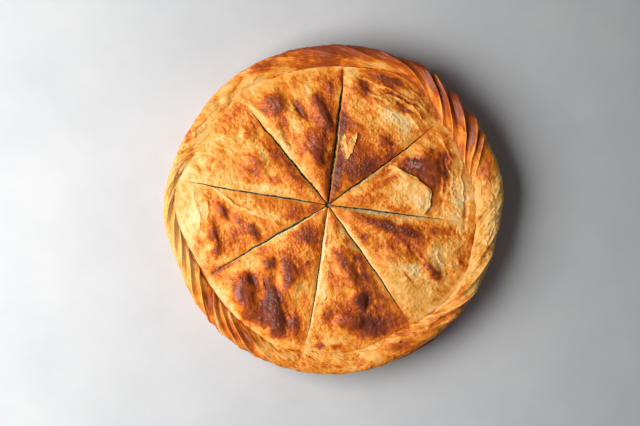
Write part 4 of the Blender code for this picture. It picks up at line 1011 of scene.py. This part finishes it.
def make_leaf(name, wedge, spine, lift_left, lift_right, tone, material):
    """A thin torn sheet that lies along its spine on the lid and lifts towards its two edges."""
    x, y, side = leaf_grid(spine)
    k = [cut["name"] for cut in CUTS].index(wedge)
    bearing, share = lid_coordinates(x, y)
    begin = cut_bearing(CUTS[k], share)
    span = (cut_bearing(CUTS[(k + 1) % len(CUTS)], share) - begin) % 360.0
    across = np.clip(((bearing - begin) % 360.0) / span, 0.02, 0.98)
    height, parts = lid_surface(x, y, share, across, wedge)
    lift = lift_left * np.clip(side, 0, 1) ** 1.5 + lift_right * np.clip(-side, 0, 1) ** 1.5
    height = height + 0.12 + lift * (1 + 0.5 * cloudy(x, y, 0 * x, 6.0, 153, layers=2))
    points, quads = closed_leaf(x, y, height, 0.45)
    own = tone + 0.20 * cloudy(x, y, 0 * x, 6.0, 155) + 0.06 * cloudy(x, y, 0 * x, 1.8, 156, layers=2)
    bake = 0.70 * (own - 0.08 * np.abs(side) ** 6) + 0.30 * lid_bake(x, y, share, parts)
    values = {"bake": np.concatenate([bake.ravel(), bake.ravel()]), "cut_face": np.zeros(2 * x.size),
              "dull": np.full(2 * x.size, 0.25), "calm": np.full(2 * x.size, 0.4)}
    return new_piece(name, points, facing_up(points, quads), material, (), values)


# Small leaves of the rim: how many, the seed of their random draw, how many places are drawn for
# them, and the chance that one lies where the rim isn't crumbly
RIM_LEAVES = 64
RIM_LEAF_SEED = 23
RIM_LEAF_PLACES = 4000
RIM_LEAF_CHANCE = 0.12
# Limits of a small leaf, in the order of its random draw: half length in degrees, half width, slant
# and place as shares of the way out, change of browning, and lift in mm
RIM_LEAF_LIMITS = [(1.0, 3.2), (0.03, 0.09), (-0.10, 0.10), (0.12, 0.86), (-0.12, 0.10), (0.3, 1.1)]


def make_rim_leaves(material):
    """Small torn leaves that stick up from the crumbly stretches of the rim, in one mesh."""
    draw = np.random.default_rng(RIM_LEAF_SEED)
    all_points, all_quads, all_bake, total = [], [], [], 0
    places = draw.uniform(0, 360, RIM_LEAF_PLACES)
    wanted = np.clip(swelling(places, RIM_FLAKY), 0, 1) + RIM_LEAF_CHANCE
    places = places[draw.uniform(0, 1, RIM_LEAF_PLACES) < wanted][:RIM_LEAVES]
    for centre in places:
        half_along, half_out, slant, middle, tone, lift = (draw.uniform(*pair) for pair in RIM_LEAF_LIMITS)
        u, v = np.meshgrid(np.linspace(-1, 1, 15), np.linspace(-1, 1, 9), indexing="ij")
        narrow = np.sqrt(np.clip(1 - (0.92 * u) ** 2, 0, 1))
        across = np.clip(middle + half_out * v * narrow + slant * u, 0.02, 0.98)
        inside = centre + half_along * u
        stations = np.array(RIM_STATIONS)[::-1]
        round_rise, flat_rise = (np.interp(across, stations[:, 0], stations[:, k]) for k in (1, 2))
        x, y, height, bake = rim_surface(inside, across, round_rise, flat_rise)
        height = height + 0.2 + lift * (0.5 + 0.5 * v) ** 2
        points, quads = closed_leaf(x, y, height, 0.4)
        all_points.append(points)
        all_quads.append(facing_up(points, quads) + total)
        all_bake.append(np.concatenate([(bake + tone).ravel()] * 2))
        total += len(points)
    points = np.concatenate(all_points)
    bake = np.concatenate(all_bake)
    dull = rim_dull(points[:, 0], points[:, 1])
    values = {"bake": bake, "cut_face": 0 * bake, "dull": dull, "calm": 0 * bake}
    return new_piece("rim_leaves", points, np.concatenate(all_quads), material, (), values)


def level_ring(radii, angle, level):
    """A ring of points at one height."""
    return np.stack([radii * np.cos(angle), radii * np.sin(angle), level + 0 * angle], axis=-1)


# Side of the case: height where its wavy part begins, how far its top stays under the lid's seat,
# share of the climb that its round foot takes, how far the foot and the top edge draw in, and how
# brown it is before its marks
SIDE_LOW = 2.5
SIDE_TOP_GAP = 1.0
SIDE_FOOT_SHARE = 0.10
SIDE_FOOT_DRAW = 1.6
SIDE_TOP_DRAW = 3.0
SIDE_BASE_BAKE = 0.43


def make_side(material):
    """Floor and side of the case: a turned shell with wrinkles, creases and burnt skirts."""
    bearing = (np.arange(SIDE_STEPS) * 360.0 / SIDE_STEPS)[None, :]
    climb = np.concatenate([np.linspace(0.0, 0.12, 5)[:-1], np.linspace(0.12, 1.0, 34)])[:, None]
    skirt = swelling(bearing, SKIRTS)
    height = SIDE_LOW + climb * (LID_SEAT_HEIGHT - SIDE_TOP_GAP - SIDE_LOW)
    lift = np.clip(height / SIDE_HEIGHT, 0, 1)
    radius = side_radius(bearing, 0.15 + 0.65 * climb) - SIDE_TAPER * 0.15
    radius = radius + skirt * (SKIRT_BELOW * lift + (1 - SKIRT_BELOW) * smooth_step(lift, 0.5, 1.0) ** 2)
    radius = radius - SIDE_TOP_DRAW * smooth_step(climb, 0.93, 1.0)
    off_foot = 1 - np.minimum(climb / SIDE_FOOT_SHARE, 1)
    radius = radius - SIDE_FOOT_DRAW * (1 - np.sqrt(np.clip(1 - off_foot**2, 0, 1)))
    angle = np.radians(bearing)
    round_x, round_y = PIE_RADIUS * np.cos(angle), PIE_RADIUS * np.sin(angle)
    pleats = cloudy(round_x, round_y, 0.25 * height, 8.0, 121, layers=2)
    creases = np.exp(-((cloudy(round_x, round_y, 0.8 * height, 15.0, 122, layers=2) / 0.09) ** 2))
    layer_ends = np.exp(-((cloudy(0.3 * round_x, 0.3 * round_y, height, 7.0, 131, layers=3) / 0.08) ** 2))
    swells = cloudy(round_x, round_y, height, 22.0, 123, layers=2)
    grains = cloudy(round_x, round_y, height, 2.6, 124, layers=2)
    radius = radius + 0.40 * pleats - 0.45 * creases + 0.25 * layer_ends + 0.7 * swells + 0.12 * grains
    x, y = radius * np.cos(angle), radius * np.sin(angle)
    foot = side_radius(bearing, 0.0)
    low = [(foot - 1.2, 0.7), (foot - 4.0, 0.0), (0.6 * foot, 0.0), (0.05 * foot, 0.0)]
    inner = PIE_RADIUS - SIDE_TAPER - WALL_THICKNESS
    high = [(inner + 4.0 + 0 * foot, LID_SEAT_HEIGHT - 2.0), (inner + 0 * foot, FLOOR_THICKNESS + 2.0),
            (inner - 4.0 + 0 * foot, FLOOR_THICKNESS), (0.05 * foot, FLOOR_THICKNESS)]
    body = np.stack([x, y, height + 0 * x], axis=-1)
    below, above = ([level_ring(r, angle, z) for r, z in rows] for rows in (low[::-1], high))
    points = np.concatenate(below + [body] + above)
    rows = points.shape[0]
    flat = points.reshape(-1, 3)
    quads = columns_to_faces(rows, SIDE_STEPS, closed=True)[:, ::-1]
    caps = [np.arange(SIDE_STEPS)[::-1], (rows - 1) * SIDE_STEPS + np.arange(SIDE_STEPS)]
    all_bearing = np.degrees(np.arctan2(flat[:, 1], flat[:, 0]))
    burnt = swelling(all_bearing, [(b, s, 0.09 * r) for b, s, r in SKIRTS])
    bake = SIDE_BASE_BAKE + burnt * smooth_step(flat[:, 2], 8, 24) - 0.10 * smooth_step(flat[:, 2], 9, 1)
    bake = bake + 0.15 * cloudy(flat[:, 0], flat[:, 1], flat[:, 2], 30.0, 127)
    bake = bake + 0.12 * cloudy(flat[:, 0], flat[:, 1], 0.6 * flat[:, 2], 8.0, 128)
    bake = bake + 0.08 * cloudy(flat[:, 0], flat[:, 1], flat[:, 2], 2.6, 129, layers=2)
    marks = np.zeros((rows, SIDE_STEPS))
    marks[len(low) : len(low) + len(climb)] = 0.12 * creases - 0.12 * layer_ends
    bake = bake + marks.ravel()
    values = {"bake": bake, "cut_face": 0 * bake, "dull": 0 * bake + 0.25, "calm": 0 * bake}
    return new_piece("side", flat, quads, material, caps, values, "crust")


def make_filling(material):
    """Spinach and cheese under the lid: a lumpy round body."""
    steps, rows = FILLING_STEPS, FILLING_ROWS
    bearing = (np.arange(steps) * 360.0 / steps)[None, :]
    share = np.linspace(0.02, 1.0, rows)[::-1][:, None]
    mouth = mouth_radius(bearing)
    wall = PIE_RADIUS - SIDE_TAPER - WALL_THICKNESS
    angle = np.radians(bearing)
    top_radius = share * (mouth - 1.6)
    x, y = top_radius * np.cos(angle), top_radius * np.sin(angle)
    lumps = 0.5 * cloudy(x, y, 0 * x, 5.0, 141) + 0.5 * bubbles(x, y, 4.0, 143)
    height = lid_underside(share) - 1.0 - 1.8 * smooth_step(share, 0.93, 1.0) + 0.6 * (lumps - 0.5)
    base = FLOOR_THICKNESS + GAP
    below = [(0.05 * wall + 0 * angle, base), (wall - 5.0 + 0 * angle, base),
             (wall - 1.0 + 0 * angle, base + 2.4),
             (np.maximum(wall + 3.0, mouth - 1.0) - 1.4, LID_SEAT_HEIGHT - 3.6)]
    top = np.stack([x, y, height], axis=-1)
    points = np.concatenate([level_ring(r, angle, z) for r, z in below] + [top])
    total = points.shape[0]
    flat = points.reshape(-1, 3)
    quads = columns_to_faces(total, steps, closed=True)[:, ::-1]
    caps = [np.arange(steps)[::-1], (total - 1) * steps + np.arange(steps)]
    cheese = smooth_step(cloudy(flat[:, 0], flat[:, 1], flat[:, 2], 5.0, 147), 0.45, 0.8)
    values = {"cheese": cheese}
    return new_piece("filling_inside", flat, quads, material, caps, values, "filling")


def node_of(material, kind, **settings):
    node = material.node_tree.nodes.new(kind)
    for key, value in settings.items():
        if key in node.inputs:
            node.inputs[key].default_value = value
        else:
            setattr(node, key, value)
    return node


def ranged(material, source, low, high):
    """A node that turns a source's 0 to 1 into low to high."""
    node = node_of(material, "ShaderNodeMapRange", **{"To Min": low, "To Max": high})
    material.node_tree.links.new(source.outputs["Fac"], node.inputs["Value"])
    return node


def colour_ramp(material, stops):
    """A ramp node with the given places and linear colours."""
    ramp = material.node_tree.nodes.new("ShaderNodeValToRGB").color_ramp
    while len(ramp.elements) < len(stops):
        ramp.elements.new(1.0)
    for element, (place, colour) in zip(ramp.elements, stops):
        element.position = place
        element.color = (*colour, 1.0)
    return material.node_tree.nodes[-1]


# Colours as place from 0 to 1 and linear colour. The first three go by browning: egg-washed pastry,
# dull pastry, and its inside at a cut. The spinach goes by its own noise.
WASHED = [(0.0, (0.90, 0.62, 0.29)), (0.18, (0.89, 0.465, 0.128)), (0.34, (0.84, 0.325, 0.046)),
          (0.48, (0.71, 0.188, 0.016)), (0.62, (0.50, 0.096, 0.010)), (0.76, (0.27, 0.053, 0.018)),
          (0.88, (0.15, 0.036, 0.020)), (1.0, (0.045, 0.018, 0.014))]
SANDY = [(0.0, (0.86, 0.65, 0.35)), (0.2, (0.83, 0.49, 0.15)), (0.36, (0.74, 0.345, 0.058)),
         (0.5, (0.58, 0.205, 0.026)), (0.65, (0.38, 0.105, 0.017)), (0.8, (0.20, 0.054, 0.020)),
         (1.0, (0.04, 0.016, 0.011))]
CRUMB = [(0.0, (0.90, 0.72, 0.40)), (0.3, (0.85, 0.52, 0.18)), (0.6, (0.52, 0.21, 0.05)),
         (1.0, (0.13, 0.04, 0.014))]
SPINACH = [(0.3, (0.008, 0.010, 0.003)), (0.5, (0.030, 0.032, 0.009)), (0.75, (0.11, 0.09, 0.03))]


def pastry(name):
    """Baked pastry: browning from the surface's own values, mottled finer still, with a satin skin
    that is duller where it is pale or sandy and smoother on its tight domes."""
    material = bpy.data.materials.new(name)
    material.use_nodes = True
    nodes, links = material.node_tree.nodes, material.node_tree.links
    shader = nodes["Principled BSDF"]
    place = node_of(material, "ShaderNodeTexCoord")
    bake, face, dull, calm = (node_of(material, "ShaderNodeAttribute", attribute_name=key)
                              for key in ("bake", "cut_face", "dull", "calm"))
    fine = node_of(material, "ShaderNodeTexNoise", Scale=900.0, Detail=4.0, Roughness=0.65)
    links.new(place.outputs["Object"], fine.inputs["Vector"])
    spread = node_of(material, "ShaderNodeMapRange",
                     **{"From Min": 0.25, "From Max": 0.75, "To Min": -0.06, "To Max": 0.06})
    links.new(fine.outputs["Fac"], spread.inputs["Value"])
    total = node_of(material, "ShaderNodeMath", operation="ADD")
    links.new(bake.outputs["Fac"], total.inputs[0])
    links.new(spread.outputs["Result"], total.inputs[1])
    washed, sandy, crumb = (colour_ramp(material, stops) for stops in (WASHED, SANDY, CRUMB))
    for ramp in (washed, sandy, crumb):
        links.new(total.outputs["Value"], ramp.inputs["Fac"])
    skin = node_of(material, "ShaderNodeMix", data_type="RGBA")
    links.new(dull.outputs["Fac"], skin.inputs[0])
    links.new(washed.outputs["Color"], skin.inputs[6])
    links.new(sandy.outputs["Color"], skin.inputs[7])
    coat = node_of(material, "ShaderNodeMix", data_type="RGBA")
    links.new(face.outputs["Fac"], coat.inputs[0])
    links.new(skin.outputs[2], coat.inputs[6])
    links.new(crumb.outputs["Color"], coat.inputs[7])
    links.new(coat.outputs[2], shader.inputs["Base Color"])
    rough = ranged(material, dull, 0.24, 0.60)
    sleek = node_of(material, "ShaderNodeMath", operation="MULTIPLY_ADD")
    sleek.inputs[1].default_value = -0.06
    links.new(calm.outputs["Fac"], sleek.inputs[0])
    links.new(rough.outputs["Result"], sleek.inputs[2])
    links.new(sleek.outputs["Value"], shader.inputs["Roughness"])
    sheen = ranged(material, calm, 0.19, 0.26)
    links.new(sheen.outputs["Result"], shader.inputs["Specular IOR Level"])
    pimples = node_of(material, "ShaderNodeTexNoise", Scale=700.0, Detail=3.0, Roughness=0.6)
    links.new(place.outputs["Object"], pimples.inputs["Vector"])
    strength = ranged(material, calm, 0.55, 0.10)
    bump = node_of(material, "ShaderNodeBump", Distance=0.0006)
    links.new(strength.outputs["Result"], bump.inputs["Strength"])
    links.new(pimples.outputs["Fac"], bump.inputs["Height"])
    links.new(bump.outputs["Normal"], shader.inputs["Normal"])
    return material


def spinach(name):
    """Dark cooked spinach with cheese between, moist. The cheese is drawn a dark tan, which paints the
    shade down in the cuts where the filling shows.
    """
    material = bpy.data.materials.new(name)
    material.use_nodes = True
    nodes, links = material.node_tree.nodes, material.node_tree.links
    shader = nodes["Principled BSDF"]
    place = node_of(material, "ShaderNodeTexCoord")
    leaves = node_of(material, "ShaderNodeTexNoise", Scale=260.0, Detail=4.0, Roughness=0.6)
    links.new(place.outputs["Object"], leaves.inputs["Vector"])
    greens = colour_ramp(material, SPINACH)
    links.new(leaves.outputs["Fac"], greens.inputs["Fac"])
    cheese = node_of(material, "ShaderNodeAttribute", attribute_name="cheese")
    mix = node_of(material, "ShaderNodeMix", data_type="RGBA")
    # Cheese drawn dark tan: painted shade of the cuts it shows in.
    mix.inputs[7].default_value = (0.40, 0.31, 0.16, 1.0)
    links.new(cheese.outputs["Fac"], mix.inputs[0])
    links.new(greens.outputs["Color"], mix.inputs[6])
    links.new(mix.outputs[2], shader.inputs["Base Color"])
    shader.inputs["Roughness"].default_value = 0.42
    return material


# Light and view: the photo looks straight down, with a wide soft light low on the left
CAMERA_HEIGHT = 1600.0
VIEW_WIDTH = 576.0
VIEW_MIDDLE = (-11.7, -3.2)
SENSOR = 36.0
LIGHT_BEARING = 184.0
LIGHT_CLIMB = 49.0
LIGHT_DISTANCE = 0.96
LIGHT_SIZE = 0.78
LIGHT_POWER = 14.6
SKY = 0.09


def make_table():
    """Plain pale floor with a faint cloudiness, darkened towards the right with painted shade where the
    light falls off.
    """
    bpy.ops.mesh.primitive_plane_add(size=6.0, location=(0, 0, -0.0002))
    table = bpy.context.object
    table.name = "table"
    material = bpy.data.materials.new("pale_table")
    material.use_nodes = True
    links = material.node_tree.links
    shader = material.node_tree.nodes["Principled BSDF"]
    place = node_of(material, "ShaderNodeTexCoord")
    clouds = node_of(material, "ShaderNodeTexNoise", Scale=9.0, Detail=6.0, Roughness=0.6)
    links.new(place.outputs["Object"], clouds.inputs["Vector"])
    tint = colour_ramp(material, [(0.3, (0.525, 0.54, 0.563)), (0.7, (0.60, 0.61, 0.628))])
    links.new(clouds.outputs["Fac"], tint.inputs["Fac"])
    # Painted shade: the floor's colour gets darker towards the right and top, away from the lamp.
    rightwards = node_of(material, "ShaderNodeVectorMath", operation="DOT_PRODUCT")
    rightwards.inputs[1].default_value = (0.9, 0.4, 0.0)
    links.new(place.outputs["Object"], rightwards.inputs[0])
    painted_falloff = node_of(material, "ShaderNodeMapRange",
                      **{"From Min": 0.0, "From Max": 0.3, "To Min": 1.0, "To Max": 0.84})
    links.new(rightwards.outputs["Value"], painted_falloff.inputs["Value"])
    painted_shade = node_of(material, "ShaderNodeHueSaturation")
    links.new(painted_falloff.outputs["Result"], painted_shade.inputs["Value"])
    links.new(tint.outputs["Color"], painted_shade.inputs["Color"])
    links.new(painted_shade.outputs["Color"], shader.inputs["Base Color"])
    shader.inputs["Roughness"].default_value = 0.8
    table.data.materials.append(material)


def make_light_and_camera():
    scene = bpy.context.scene
    scene.view_settings.view_transform = "Standard"
    world = bpy.data.worlds.new("studio")
    world.use_nodes = True
    world.node_tree.nodes["Background"].inputs["Color"].default_value = (0.93, 0.96, 1.0, 1.0)
    world.node_tree.nodes["Background"].inputs["Strength"].default_value = SKY
    scene.world = world
    light = bpy.data.lights.new("window", "AREA")
    light.energy = LIGHT_POWER
    light.size = LIGHT_SIZE
    light.color = (1.0, 0.985, 0.96)
    lamp = bpy.data.objects.new("window", light)
    bearing, climb = math.radians(LIGHT_BEARING), math.radians(LIGHT_CLIMB)
    flat = LIGHT_DISTANCE * math.cos(climb)
    lamp.location = (flat * math.cos(bearing), flat * math.sin(bearing), LIGHT_DISTANCE * math.sin(climb))
    lamp.rotation_euler = (math.pi / 2 - climb, 0, bearing + math.pi / 2)
    scene.collection.objects.link(lamp)
    lens = SENSOR * (CAMERA_HEIGHT - RIM_HEIGHT) / VIEW_WIDTH
    view = bpy.data.cameras.new("above")
    view.sensor_width = SENSOR
    view.lens = lens
    view.clip_end = 10.0
    camera = bpy.data.objects.new("above", view)
    camera.location = ((VIEW_MIDDLE[0] - SHIFT_X) * MM, (VIEW_MIDDLE[1] - SHIFT_Y) * MM, CAMERA_HEIGHT * MM)
    scene.collection.objects.link(camera)
    scene.camera = camera


make_table()
make_light_and_camera()
lid_pastry = pastry("lid_pastry")
rim_pastry = pastry("rim_pastry")
for k, cut in enumerate(CUTS):
    make_wedge(cut, CUTS[(k + 1) % len(CUTS)], lid_pastry)
make_rim(rim_pastry)
make_rim_leaves(rim_pastry)
for name, leaf in LEAVES.items():
    make_leaf(name, *leaf, lid_pastry)
make_side(rim_pastry)
make_filling(spinach("spinach_filling"))
